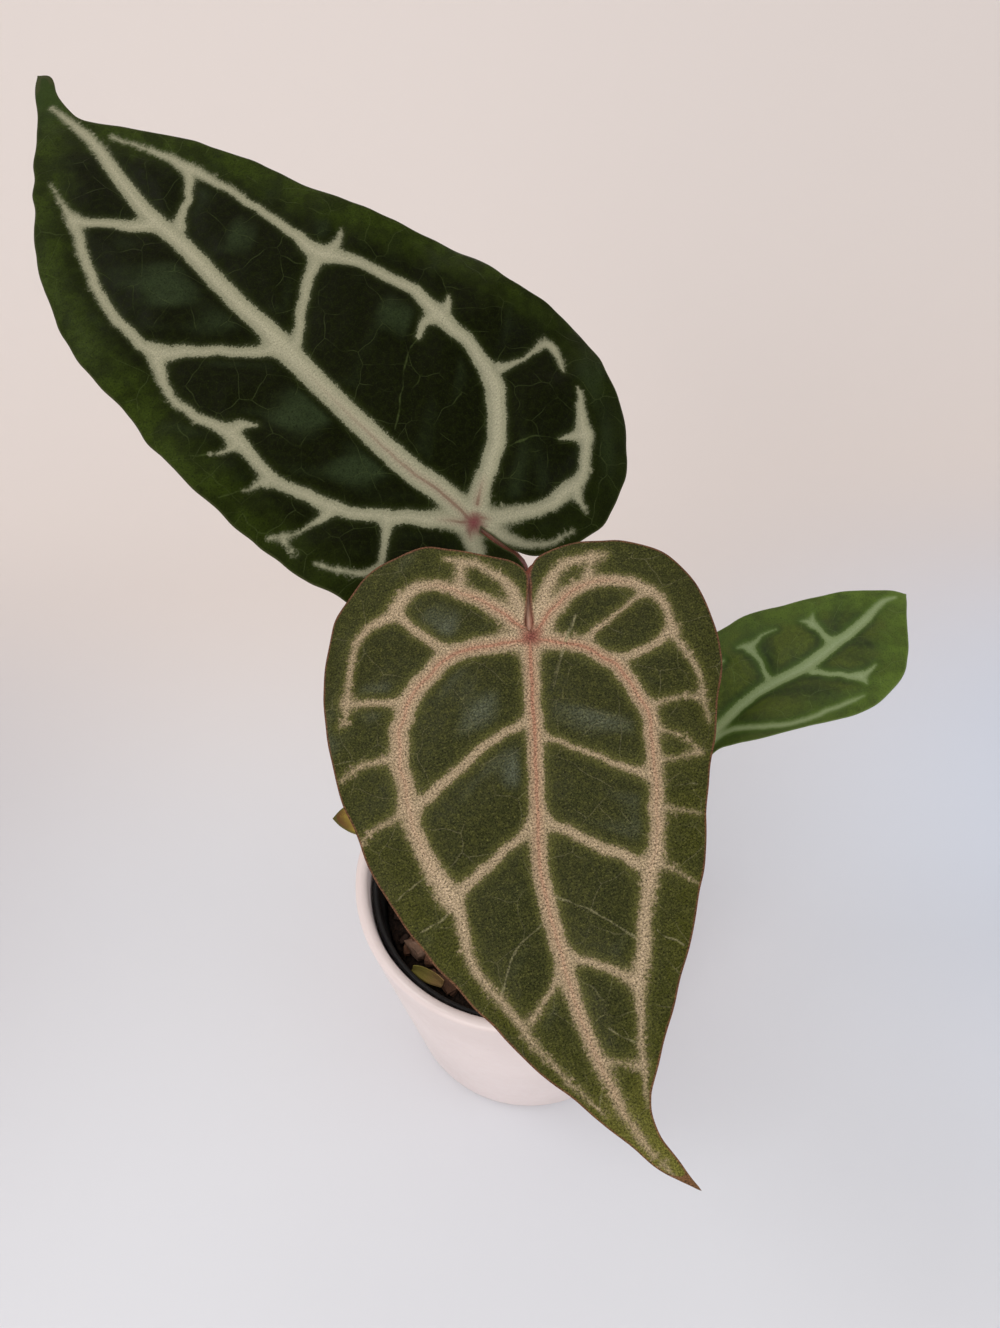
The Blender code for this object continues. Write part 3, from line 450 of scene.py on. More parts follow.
backLeaf = dict(
    node="leaf_2", slot="leaf_dark_green", joint=(-5.0, -6.0, 202.0), heading=135.0, rise=26.5, roll=13.0,
    length=112.0, arch=6.0, fold=0.12, sag=0.0045, cup=0.0, wave=(0.8, 26.0, 30.0), ripple=0.55,
    webbing=0.5, veinHalf=0.46,
    plus=[(0.55, -1.2), (0.75, -2), (1.2, -3.6), (1.6, -5.2), (2, -6.8), (2.5, -8), (3.2, -9.3),
        (4.2, -10.6), (6, -11.8), (11.5, -14), (17, -14.6), (22, -13.4), (28, -10.5), (32, -7),
        (35.5, -1.5), (37.8, 4.5), (40.6, 13.5), (39.4, 21), (35.4, 28.5), (32.6, 38), (27, 48),
        (21, 58.5), (16, 70), (9, 82.5), (1, 95), (-2.3, 100), (-1.9, 105), (0.2, 111), (-1.2, 113.5)],
    minus=[(-0.4, -1.2), (-0.1, -2), (0.3, -3.7), (0.8, -5.4), (1.35, -6.9), (1.85, -8.3), (1.9, -10),
        (1.2, -12.2), (-1.2, -14.4), (-5, -15.5), (-9.5, -15.4), (-14, -13.7), (-18.5, -11),
        (-22.8, -4.5), (-25.7, 4), (-28.6, 11.5), (-31, 23), (-32.2, 31), (-32.5, 43), (-31.7, 49),
        (-32, 56), (-31.4, 63.5), (-29, 72), (-25.4, 80), (-19.2, 89), (-13.8, 96.5), (-8, 103.5),
        (-3.8, 110.6), (-1.2, 113.5)],
    mid=[(0, 1, 4.2), (-1, 7.5, 4.6), (-3, 15.5, 4.6), (-4.5, 30.5, 4.2), (-5, 42.5, 4.6), (-5, 47, 3.9),
        (-5.5, 54, 3.6), (-5.5, 69, 3.5), (-6, 74.5, 3.3), (-5, 84.5, 2.9), (-3.5, 94.5, 2.4),
        (-4, 105, 1.3)],
    main=[[(-1, 1, 3.8), (-4.5, 4, 3.3), (-9.5, 8.5, 2.6), (-14.5, 13, 2.4), (-18, 18.5, 2.5),
        (-21.5, 26.5, 2.3), (-21.5, 35, 2.4), (-24, 42, 1.8), (-24.5, 48.5, 1.8), (-22, 54, 3),
        (-22.5, 57.5, 2.2), (-22.5, 65.5, 2), (-20.5, 72.5, 2), (-16.5, 82, 1.9), (-15.4, 86.5, 0.9),
        (-14.5, 90.5, 0.3)], [(2.5, 2, 3.8), (6.5, 4.5, 3.4), (12.5, 8, 3.7), (17.5, 13.5, 4),
        (19.5, 16.5, 4.2), (20.5, 23, 3.1), (19.5, 30.5, 3.3), (19.5, 37.5, 2.7), (15.5, 46.5, 2.4),
        (11, 52, 3.4), (10, 58, 2.1), (7.5, 71, 1.8), (5, 78.5, 2.5), (2.5, 86, 1.2), (-0.5, 92.5, 0.8)],
        [(1.5, 0, 4), (4, -2, 3), (11, -5.5, 2.6), (15, -6, 3.2), (21, -5.6, 2.6), (24.8, -2.6, 2.5),
        (26.8, 0.2, 2.7), (29, 3.4, 1.9), (30.6, 5.2, 1.2), (31.4, 6.6, 0.4)], [(-1.5, -0.5, 2.9),
        (-4.5, -5.5, 2.5), (-11, -8.5, 2), (-17, -5, 1.4), (-19, 1, 1)]],
    branch=[[(-6.5, 74, 3.2), (-8.5, 74.5, 2.9), (-13, 79, 2), (-16, 82, 2.5)], [(-6.5, 43, 2.6),
        (-11, 46, 2.2), (-16, 50, 2.1), (-21, 53.5, 3.1)], [(-3.5, 70.5, 2.4), (-2, 72, 1.7),
        (1, 73.5, 1.5), (4.5, 78, 1.9)], [(-4.5, 41.5, 2.6), (-2, 42.5, 2), (3.5, 47, 2), (9.5, 51, 2.3)],
        [(32, 10.5, 0.5), (33, 13, 1.6), (33.8, 16.2, 2.3), (30, 16.5, 1.1), (26.5, 16.5, 0.9),
        (22, 17.5, 2.1)], [(11.5, 50.5, 2.2), (14.5, 51.5, 1.5), (17.5, 53, 0.5)], [(19.5, 30.5, 2.2),
        (22, 31.2, 1.7), (24, 32.5, 0.6)], [(1.5, -1.5, 2.2), (4, -7.5, 1.3), (8, -11, 1),
        (12.5, -12, 0.6)], [(-11.5, 9.5, 2.3), (-14.5, 6.5, 1.3), (-18.5, 4.5, 1.4), (-22, 6.5, 1.1),
        (-25.5, 11.5, 0.7)], [(-21, 36, 2.4), (-19, 36, 1.7), (-17.5, 34.5, 0.7)], [(26.2, -0.8, 3.0),
        (24, 0.4, 1.6), (22, 1.5, 0.4)], [(18, -7, 2.6), (17.3, -9.5, 1.2), (16.9, -11.2, 0.5)],
        [(-18, 16.4, 2.0), (-21.5, 16.5, 0.9), (-24, 17, 0.6), (-26, 17.8, 0.7), (-28.3, 19.4, 0.4)],
        [(-26.5, 17.8, 0.8), (-27, 15, 0.3)], [(-22.5, 26.2, 2.0), (-24.5, 26.8, 0.8),
        (-26.5, 27.4, 0.3)], [(-22, 34, 1.8), (-24.5, 34.3, 0.7), (-26.5, 35.3, 0.3)], [(19.5, 31, 2.2),
        (16.5, 31, 1.7), (14, 29.5, 1)]],
    thread=[[(14, 29.5, 0.8), (9, 27.5, 0.5), (0, 20, 0.5)], [(22, 1.5, 0.6), (17.5, 4.5, 0.5),
        (13, 6, 0.6)], [(-26, 27.2, 0.6), (-30, 29, 0.4)], [(-26, 35, 0.5), (-29, 37.5, 0.3)]],
    coreSpan=(34, 5, 2), tipStart=92, tipEnd=110, paintedSheenBase=0.35, paintedSheenSpots=[(-9, 20, 6), (-11, 30, 6),
    (-12, 50, 7), (-12, 62, 6), (-12, 74, 5), (3, 62, 5), (14, 34, 5)], gloss=0.045)

sideLeaf = dict(
    node="leaf_3", slot="leaf_fresh_green", joint=(42.0, -3.5, 128.5), heading=25.5, rise=23.0, roll=4.0,
    length=57.0, arch=4.0, fold=0.1, sag=0.003, cup=0.7, wave=(0.5, 20.0, 20.0), ripple=0.3, webbing=0.2,
    veinHalf=0.46,
    plus=[(0.5, -1.2), (1.0, -3.4), (2.2, -5.2), (3.6, -4.8), (3.9, -2.6), (3.6, -0.2), (4.2, 2.6),
        (7.2, 5.4), (11.2, 9.8), (15, 17.5), (18, 25), (19.2, 32), (18.6, 38.5), (16, 43.4), (10.8, 48.4),
        (4.5, 53.2), (0, 57)],
    minus=[(-0.5, -1.2), (-1.5, -4.5), (-5, -8.2), (-10, -8.5), (-14, -5.5), (-16.5, 1), (-17.5, 9),
        (-17.3, 19), (-16.8, 28), (-14, 36), (-8.7, 47), (-3.5, 54.5), (0, 57)],
    mid=[(0, 0.5, 2.7), (-1, 7, 2.7), (-1, 16.5, 2.7), (1, 26, 3), (1.6, 29.5, 3.3), (1.2, 39, 2.9),
        (0.4, 45.5, 2.5), (-1.3, 51.5, 1.9), (-0.8, 54.5, 1)],
    main=[[(0, 1, 2.2), (1, 5, 1.9), (3, 8, 2), (8.5, 12.3, 1.9), (13, 18, 1.7), (14.5, 24, 1.6),
        (15.4, 29.5, 1.3), (16, 32.5, 0.5)], [(-0.5, 1, 2.2), (-6, 6, 1.4), (-10.5, 13, 1),
        (-11, 16, 0.4)]],
    branch=[[(3.5, 29, 1.6), (8.5, 32.5, 1.4), (11.5, 35.3, 2), (11.5, 39.5, 0.5)], [(11.5, 35.3, 1.8),
        (14, 35, 0.5)], [(-0.5, 36.5, 1.7), (-4, 36.8, 1.4), (-6.2, 36.6, 1.7), (-8.5, 35.4, 0.4)],
        [(-6, 36.6, 1.4), (-8.4, 38.4, 0.4)], [(-2, 21, 1.2), (-6, 22, 1.1), (-10, 22.4, 1.8),
        (-11.4, 20.6, 0.4)], [(-10, 22.5, 1.6), (-10.6, 26, 0.9), (-10, 29.5, 0.3)]],
    thread=[],
    coreSpan=(10, 3, 0), tipStart=50, tipEnd=60, paintedSheenBase=0.9, paintedSheenSpots=[], gloss=0.2)

oldLeaf = dict(
    node="leaf_4", slot="leaf_fresh_green", joint=(-1.3, -28.2, 145.4), heading=196.8, rise=28.1,
    roll=10.0, length=38.5, arch=3.0, fold=0.1, sag=0.006, cup=0.25, wave=(0.4, 14.0, 12.0), ripple=0.2,
    webbing=0.2, veinHalf=0.46,
    plus=[(0.5, -1.2), (1.4, -4), (4.5, -7), (8.5, -6.6), (11.2, -2.6), (12.2, 3.5), (11.5, 10.5),
        (9.4, 18.5), (6.5, 26), (3.4, 32.5), (1.4, 36.6), (-0.2, 38.5)],
    minus=[(-0.5, -1.2), (-1.4, -4), (-4.5, -7), (-8.5, -6.6), (-11.2, -2.6), (-12, 3.5), (-11.3, 12),
        (-9.4, 21), (-6.9, 29), (-4.4, 34.8), (-2.4, 37.2), (-0.2, 38.5)],
    mid=[(0, 0.5, 1.6), (0.6, 14, 1.5), (0.4, 28, 1), (-0.2, 37, 0.4)],
    main=[[(0, 0.5, 1.4), (6, 3.5, 1.1), (8.2, 11, 1), (6.2, 21, 0.8), (2.6, 31, 0.4)], [(0, 0.5, 1.4),
        (-6, 3.5, 1.1), (-8, 11, 1), (-6.6, 22, 0.8), (-3.4, 32, 0.4)]],
    branch=[[(0.5, 11, 0.7), (4, 14, 0.6), (7.6, 16, 0.6)], [(0.5, 11, 0.7), (-4, 15, 0.6),
        (-7.6, 17, 0.6)], [(0.5, 21, 0.6), (2.5, 23.5, 0.5), (5, 25, 0.5)], [(0.5, 21, 0.6),
        (-2.5, 24, 0.5), (-5.4, 26, 0.5)]],
    thread=[],
    coreSpan=(5, 2, 0), tipStart=33, tipEnd=38, paintedSheenBase=0.6, paintedSheenSpots=[], gloss=0.25)

leaves = dict(frontLeaf=frontLeaf, backLeaf=backLeaf, sideLeaf=sideLeaf, oldLeaf=oldLeaf)

# How every blade is meshed, shaped and thickened, in mm
bladeMake = dict(
    wobble=dict(mid=0.15, main=0.35, branch=0.45, thread=0.45), wobbleScale=0.45,
    rimStep=0.6, veinStep=0.7, cell=0.62, rimClear=0.32, veinClear=0.3, veinInset=0.5,
    thickness=0.45, rimThickness=0.22, rimSlim=1.2, middle=0.375, rimDrop=0.1, rimDropReach=0.4,
    quiltHeight=0.9, quiltReach=4.5, quiltFade=7.0, veinGroove=0.22, grooveReach=1.0,
    unevenness=0.16, unevenScale=0.33, unevenFade=3.0, rippleScale=0.2, rippleFrom=16.0,
    rippleFade=8.0, ribDepth=dict(mid=1.0, main=0.75, branch=0.4),
    ribWidth=dict(mid=1.0, main=0.8, branch=0.6), fullRib=1.6, ribFade=4.0, jointFlat=2.2,
    jointFade=3.0, veinBlend=0.55, webReach=8.0, webShift=3.0, threadHalf=0.16, scarHalf=0.3,
    cupReach=20.0, waveTurn=0.9)
curveSteps = 8
veinSteps = 5


def smoothCurve(points, steps):
    # a Catmull-Rom curve through the points
    p = [np.array(q, float) for q in points]
    p = [2 * p[0] - p[1], *p, 2 * p[-1] - p[-2]]
    line = []
    for a, b, c, d in zip(p, p[1:], p[2:], p[3:]):
        for t in np.arange(steps) / steps:
            line.append(0.5 * (2 * b + (c - a) * t + (2 * a - 5 * b + 4 * c - d) * t * t
                               + (3 * b - a - 3 * c + d) * t ** 3))
    return np.array(line + [p[-2]])


def evenPoints(line, spacing, dims=2):
    along = np.concatenate([[0.0], np.cumsum(np.linalg.norm(np.diff(line[:, :dims], axis=0), axis=1))])
    at = np.linspace(0.0, along[-1], max(2, int(round(along[-1] / spacing)) + 1))
    return np.stack([np.interp(at, along, line[:, k]) for k in range(line.shape[1])], axis=1)


def steadyNoise(place):
    # a noise vector that is the same on every run, which mathutils' own noise_vector isn't
    return Vector([noise.noise(place + Vector((0.0, 0.0, gap))) for gap in (0.0, 31.7, 63.1)])


def veinLine(points, kind):
    # a vein's line, with the slight wobble that thin veins have
    line = evenPoints(smoothCurve(points, veinSteps), bladeMake["veinStep"])
    for p in line:
        scale = bladeMake["wobbleScale"]
        push = steadyNoise(Vector((p[0] * scale, p[1] * scale, 1.7)))
        p[:2] += np.array(push[:2]) * bladeMake["wobble"][kind]
    return line


def veinsOf(leaf, kind):
    return [leaf["mid"]] if kind == "mid" else leaf[kind]


def nearest(points, line):
    # for each point: distance to the line, distance along it, and the line's third value there
    best = np.full(len(points), 1e9)
    along = np.zeros(len(points))
    third = np.zeros(len(points))
    travelled = 0.0
    for a, b in zip(line[:-1], line[1:]):
        step = b[:2] - a[:2]
        length = max(math.hypot(*step), 1e-9)
        t = np.clip(((points - a[:2]) @ step) / length ** 2, 0.0, 1.0)
        away = np.hypot(*(points - a[:2] - t[:, None] * step).T)
        closer = away < best
        best[closer] = away[closer]
        along[closer] = travelled + t[closer] * length
        if line.shape[1] > 2:
            third[closer] = a[2] + (b[2] - a[2]) * t[closer]
        travelled += length
    return best, along, third


def insideLoop(points, loop):
    inside = np.zeros(len(points), bool)
    for a, b in zip(loop, np.roll(loop, -1, axis=0)):
        if a[1] != b[1]:
            spans = (a[1] > points[:, 1]) != (b[1] > points[:, 1])
            inside ^= spans & (points[:, 0] < (b[0] - a[0]) * (points[:, 1] - a[1]) / (b[1] - a[1]) + a[0])
    return inside


def leafAxes(leaf):
    heading, rise, roll = (math.radians(leaf[key]) for key in ("heading", "rise", "roll"))
    along = Vector((math.cos(rise) * math.cos(heading), math.cos(rise) * math.sin(heading), math.sin(rise)))
    level = Vector((math.sin(heading), -math.cos(heading), 0.0))
    across = level * math.cos(roll) + level.cross(along) * math.sin(roll)
    return across, along, across.cross(along)


def bladeForm(leaf, x, y):
    # height of the blade over its plane: an arch to the tip, halves that rise from the midrib
    # and sag to the edge, a cupped base and a waved edge
    rib = np.array([(0.0, 0.0, 0.0)] + leaf["mid"] + [(*leaf["plus"][-1], 0.0)])
    away = x - np.interp(y, rib[:, 1], rib[:, 0])
    t = y / leaf["length"]
    form = 4 * leaf["arch"] * np.where(t > 0, t * (1 - t), t + 2 * t * t)
    lift = leaf["fold"] + leaf["cup"] * np.exp(-(np.maximum(y, -5) / bladeMake["cupReach"]) ** 2)
    form += lift * (np.sqrt(away ** 2 + 2.0) - math.sqrt(2.0)) - leaf["sag"] * away ** 2
    depth, period, half = leaf["wave"]
    turn = np.where(away > 0, bladeMake["waveTurn"], 0.0)
    return form + depth * (away / half) ** 2 * np.sin(math.tau * y / period + turn)


def bladeEdge(leaf):
    # the outline as one loop, slightly uneven away from the notch
    make = bladeMake
    step, scale = make["rimStep"], make["rippleScale"]
    edge = np.concatenate([evenPoints(smoothCurve(leaf["plus"], curveSteps), step),
                           evenPoints(smoothCurve(leaf["minus"], curveSteps), step)[::-1][1:-1]])
    normal = np.roll(edge, 1, axis=0) - np.roll(edge, -1, axis=0)
    normal = np.stack([-normal[:, 1], normal[:, 0]], axis=1)
    normal /= np.maximum(np.linalg.norm(normal, axis=1), 1e-6)[:, None]
    ripple = np.array([noise.noise(Vector((x * scale, y * scale, leaf["length"]))) for x, y in edge])
    clear = np.hypot(edge[:, 0], edge[:, 1]) - make["rippleFrom"]
    clear = np.clip(clear / make["rippleFade"], 0.0, 1.0)
    return edge + normal * (ripple * leaf["ripple"] * clear)[:, None]


def bladeMesh(leaf, edge, closed):
    # flat triangles inside the outline, with edges along every vein so that lines stay sharp
    make = bladeMake
    low, high = edge.min(axis=0), edge.max(axis=0)
    rows = int((high[1] - low[1]) / make["cell"] / 0.866) + 2
    columns = int((high[0] - low[0]) / make["cell"]) + 2
    i, j = np.meshgrid(np.arange(columns), np.arange(rows))
    grid = np.stack([low[0] + (i + 0.5 * (j % 2)) * make["cell"], low[1] + j * make["cell"] * 0.866], axis=-1)
    grid = grid.reshape(-1, 2)
    grid = grid[insideLoop(grid, edge)]
    grid = grid[nearest(grid, closed)[0] > make["rimClear"]]
    picked = [edge]
    count = len(edge)
    links = [(k, (k + 1) % count) for k in range(count)]
    for kind in ("mid", "main", "branch", "thread"):
        for points in veinsOf(leaf, kind):
            line = veinLine(points, kind)[:, :2]
            inside = insideLoop(line, edge) & (nearest(line, closed)[0] > make["veinInset"])
            links += [(count + k, count + k + 1) for k in range(len(line) - 1) if inside[k] and inside[k + 1]]
            line[~inside] = line[inside][0]
            grid = grid[nearest(grid, line[inside])[0] > make["veinClear"]]
            picked.append(line)
            count += len(line)
    picked = np.concatenate(picked + [grid])
    verts, _, faces, *_ = delaunay_2d_cdt([Vector(p) for p in picked], links, [], 1, 1e-4)
    return np.array([tuple(v) for v in verts]), [tuple(f) for f in faces]


def veinFields(leaf, flat):
    # distances that the pattern reads, with the ribs' depth and the distance to any thick vein
    make = bladeMake
    smooth, run, ribs, coreFade = np.zeros((4, len(flat)))
    nearVein, toMain, toCore = np.full((3, len(flat)), 1e9)
    toThread, toScar = np.full((2, len(flat)), 1e3)
    count = 0
    for kind in ("mid", "main", "branch"):
        for number, points in enumerate(veinsOf(leaf, kind)):
            away, along, width = nearest(flat, veinLine(points, kind))
            signed = away - width * leaf["veinHalf"]
            smooth += np.exp(-np.clip(signed, -6, 30) / make["veinBlend"])
            closer = signed < nearVein
            nearVein[closer] = signed[closer]
            run[closer] = along[closer] + 37.0 * count
            rib = make["ribDepth"][kind] * np.exp(-(away / make["ribWidth"][kind]) ** 2)
            ribs = np.maximum(ribs, rib * np.clip(width / make["fullRib"], 0.3, 1.0))
            toMain = np.minimum(toMain, away)
            if kind != "branch":
                span = leaf["coreSpan"][0 if kind == "mid" else 1 if number < 2 else 2]
                closer = away < toCore
                toCore[closer] = away[closer]
                coreFade[closer] = np.clip(1.15 - along[closer] / max(span, 0.1), 0.0, 1.0)
            count += 1
    for points in leaf["thread"]:
        away, _, width = nearest(flat, veinLine(points, "thread"))
        toThread = np.minimum(toThread, away - width * make["threadHalf"])
    for points in leaf.get("scar", []):
        away, _, width = nearest(flat, evenPoints(smoothCurve(points, veinSteps), make["veinStep"]))
        toScar = np.minimum(toScar, away - width * make["scarHalf"])
    # veins run together round the joint
    x, y = flat.T
    toVein = -make["veinBlend"] * np.log(smooth)
    centre = np.hypot(x, y + make["webShift"])
    toVein = toVein - leaf["webbing"] * np.exp(-(centre / make["webReach"]) ** 2)
    fields = dict(veinDistance=toVein, veinRun=run, coreDistance=toCore, coreFade=coreFade,
                  threadDistance=toThread, scarDistance=toScar)
    return fields, ribs, toMain


def writeValues(data, fields):
    for label, values in fields.items():
        layer = data.attributes.new(label, "FLOAT", "POINT")
        layer.data.foreach_set("value", np.array(values, dtype=np.float32))


@contextmanager
def openMesh(data):
    bm = bmesh.new()
    bm.from_mesh(data)
    yield bm
    bm.to_mesh(data)
    bm.free()


def makeBlade(name, leaf):
    make = bladeMake
    edge = bladeEdge(leaf)
    closed = np.concatenate([edge, edge[:1]])
    flat, faces = bladeMesh(leaf, edge, closed)
    fields, ribs, toMain = veinFields(leaf, flat)
    x, y = flat.T
    toRim = nearest(flat, closed)[0]

    # quilted between the veins, grooved along them, thin at the rim, ribbed below
    joint = np.clip((np.hypot(x, y) - make["jointFlat"]) / make["jointFade"], 0.0, 1.0)
    swell = (1 - np.exp(-(toMain / make["quiltReach"]) ** 2)) * joint
    swell *= np.clip(toRim / make["quiltFade"], 0.0, 1.0)
    scale = make["unevenScale"]
    fine = np.array([noise.noise(Vector((a * scale, b * scale, leaf["length"]))) for a, b in flat])
    top = bladeForm(leaf, x, y) + make["quiltHeight"] * swell + make["middle"]
    top += make["unevenness"] * fine * np.clip(toRim / make["unevenFade"], 0.0, 1.0)
    top -= (make["veinGroove"] * np.exp(-(toMain / make["grooveReach"]) ** 2)
            + make["rimDrop"] * np.exp(-(toRim / make["rimDropReach"]) ** 2))
    slim = np.clip(toRim / make["rimSlim"], 0.0, 1.0)
    thick = make["rimThickness"] + (make["thickness"] - make["rimThickness"]) * slim
    bottom = top - thick - ribs * joint * np.clip(toRim / make["ribFade"], 0.1, 1.0)

    axes = np.array(leafAxes(leaf))
    sheets = [(np.stack([x, y, z], axis=1) @ axes + np.array(leaf["joint"])) * mm for z in (top, bottom)]
    size, rim, count = len(flat), len(edge), len(faces)
    data = bpy.data.meshes.new(name)
    data.from_pydata(np.concatenate(sheets).tolist(), [], [
        *faces, *[tuple(k + size for k in reversed(f)) for f in faces],
        *[((k + 1) % rim, k, k + size, (k + 1) % rim + size) for k in range(rim)]])
    sides = np.array([0] * count + [1] * count + [0] * rim, dtype=np.int32)
    data.polygons.foreach_set("material_index", sides)

    # how much painted sheen, a grey highlight, each point takes: a base share and round spots where it is
    # strongest
    bloomShare = np.full(size, leaf["paintedSheenBase"])
    for spotX, spotY, reach in leaf["paintedSheenSpots"]:
        bloomShare = np.maximum(bloomShare, np.exp(-(np.hypot(x - spotX, y - spotY) / reach) ** 2))
    tipShare = np.clip((y - leaf["tipStart"]) / (leaf["tipEnd"] - leaf["tipStart"]), 0.0, 1.0)
    fields.update(edgeDistance=toRim, tipShare=tipShare, bloomShare=bloomShare)
    writeValues(data, {label: np.concatenate([values, values]) for label, values in fields.items()})
    uv = data.uv_layers.new(name="leafUv")
    corners = np.zeros(len(data.loops), dtype=np.int32)
    data.loops.foreach_get("vertex_index", corners)
    both = np.concatenate([flat, flat + (200.0, 0.0)]) / 100.0
    uv.data.foreach_set("uv", both[corners].astype(np.float32).ravel())

    with openMesh(data) as bm:
        bmesh.ops.recalc_face_normals(bm, faces=bm.faces)
    data.shade_smooth()
    data.set_sharp_from_angle(angle=math.radians(60))
    return newItem(name, data)


def leafMaterial(name, pattern, look, gloss, sheen=0.0):
    made = newMaterial(name, {
        "Sheen Weight": sheen, "Sheen Roughness": 0.35, "Sheen Tint": (0.86, 0.93, 1.0, 1),
        "Specular Tint": (1.0, 0.96, 0.8, 1), "Specular IOR Level": gloss})
    return groupMaterial(made, pattern, look, 0.35, 0.00025)


def dress(piece, node):
    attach(piece, "root")
    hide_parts(node)


def makeLeaves():
    pattern = leafPatternGroup()
    for number, (name, leaf) in enumerate(leaves.items()):
        blade = makeBlade(name, leaf)
        look = {key: values[number] for key, values in (leafColours | leafAmounts).items()}
        under = look | {key: values[number] for key, values in underColours.items()} | underAmounts
        blade.data.materials.append(leafMaterial(name + "Velvet", pattern, look, leaf["gloss"]))
        blade.data.materials.append(leafMaterial(name + "Underside", pattern, under, underGloss, underSheen))
        dress(blade, leaf["node"])
        print(name, len(blade.data.polygons), "faces")


# Stalks

# Route from the stem up, in mm, then the approach as places on the blade and the height over
# its middle surface. radii are at the foot, the top and the swollen joint
stalks = dict(
    frontStalk=dict(
        node="stalk_1", leaf="frontLeaf", footAngle=70, radii=(2.1, 1.05, 1.25), flush=1.0,
        route=[(2.0, 2.9, 84), (4.0, 1.0, 100), (5.8, -2.0, 130), (7.6, -5.8, 165), (8.0, -8.3, 181),
               (7.6, -10.4, 190.5), (6.2, -12.6, 196.3), (4.6, -15.8, 199.6), (3.3, -19.5, 200.4)],
        approach=[(-1.7, -8.0, -2.5), (-1.2, -6.4, -2.3), (-0.8, -4.7, -2.2), (-0.4, -3.1, -2.1),
                  (-0.1, -1.7, -1.95), (0.2, -0.2, -1.7), (0.8, 2.4, -1.2)]),
    backStalk=dict(
        node="stalk_2", leaf="backLeaf", footAngle=160, radii=(2.1, 0.95, 1.1), flush=0.45,
        route=[(-2.6, 1.2, 84), (-1.3, 0.8, 100), (0.6, -1.2, 130), (2.0, -4.0, 162), (2.8, -6.2, 179),
               (3.1, -7.8, 189), (2.8, -8.3, 193.6)],
        approach=[(2.5, -7.6, -2.5), (2.3, -6.4, -2.1), (1.75, -4.6, -1.95), (1.1, -2.2, -1.8),
                  (0.75, -1.0, -1.7), (0.4, 0.2, -1.5), (0, 2.6, -1.1)]),
    sideStalk=dict(
        node="stalk_3", leaf="sideLeaf", footAngle=-15, radii=(1.9, 0.95, 1.15), flush=0.3,
        route=[(5.2, -1.6, 81), (8.6, -2.9, 90), (15, -5.0, 101), (23, -6.8, 111)],
        approach=[(-1.6, -14.0, -5.2), (-0.6, -8.5, -3.0), (0.0, -5.0, -2.4), (0.2, -2.4, -1.95),
                  (0.2, -0.1, -1.6), (0, 2.4, -1.1)]),
    oldStalk=dict(
        node="stalk_4", leaf="oldLeaf", footAngle=250, radii=(1.8, 0.9, 1.0), flush=0.3,
        route=[(-0.2, -4.8, 83), (0.8, -8.0, 96), (2.4, -14.0, 113), (3.4, -20.5, 127)],
        approach=[(0.9, -7.5, -5.0), (0.4, -4.8, -3.0), (0.2, -2.4, -2.05), (0.1, -0.2, -1.5),
                  (0.1, 2.0, -1.0)]))

# the last value sets how squarely a stalk must face the blade's upper side to take the painted highlight
stalkMake = dict(ring=3.6, foot=74.3, step=1.2, taper=2.2, kneeAt=5.0, kneeReach=4.0, unevenness=0.02,
                 closing=2.5, flushReach=9.0, paintedHighlightFrom=0.88)
# the last colour is a painted highlight along the stalk's upper side near the blade
stalkLook = dict(green="5b6234", red="7d3b2c", dark="47251a", fleck="a08a62", redFrom=150, redTo=192,
                 flush="965a48", paintedHighlight="dcb498")


def stalkMaterial():
    made = newMaterial("stalkSkin", {"Specular IOR Level": 0.55, "Coat Roughness": 0.2})
    place = objectPlace(made)
    stretched = stretch(place, (1, 1, 0.12))
    streaks = noiseAt(stretched, 900)
    ruddy = fade(axis(place, "Z") + noiseAt(place, 160, 2.0) * 0.04, stalkLook["redFrom"] * mm,
                 stalkLook["redTo"] * mm, 0.25, 1.0)
    colour = mix(ruddy, stalkLook["green"], stalkLook["red"])
    colour = mix(fade(streaks, 0.45, 0.7, 0, 0.7), colour, stalkLook["dark"])
    colour = mix(fade(cellsAt(stretched, 1400), 0.1, 0.3, 0.5, 0.0), colour, stalkLook["fleck"])
    # the knee under the blade is flushed, with a painted highlight along the side that faces the same way as
    # the blade's upper face
    flush = attribute(made.node_tree, "flush") * fade(streaks, 0.4, 0.8, 1, 0.6)
    colour = mix(flush, colour, stalkLook["flush"])
    colour = mix(attribute(made.node_tree, "paintedHighlight"), colour, stalkLook["paintedHighlight"])
    return finishMaterial(made, colour, fade(streaks, 0.3, 0.7, 0.3, 0.5), streaks, 0.3, 0.0002)


def pickOnly(item):
    bpy.ops.object.select_all(action="DESELECT")
    item.select_set(True)
    bpy.context.view_layer.objects.active = item


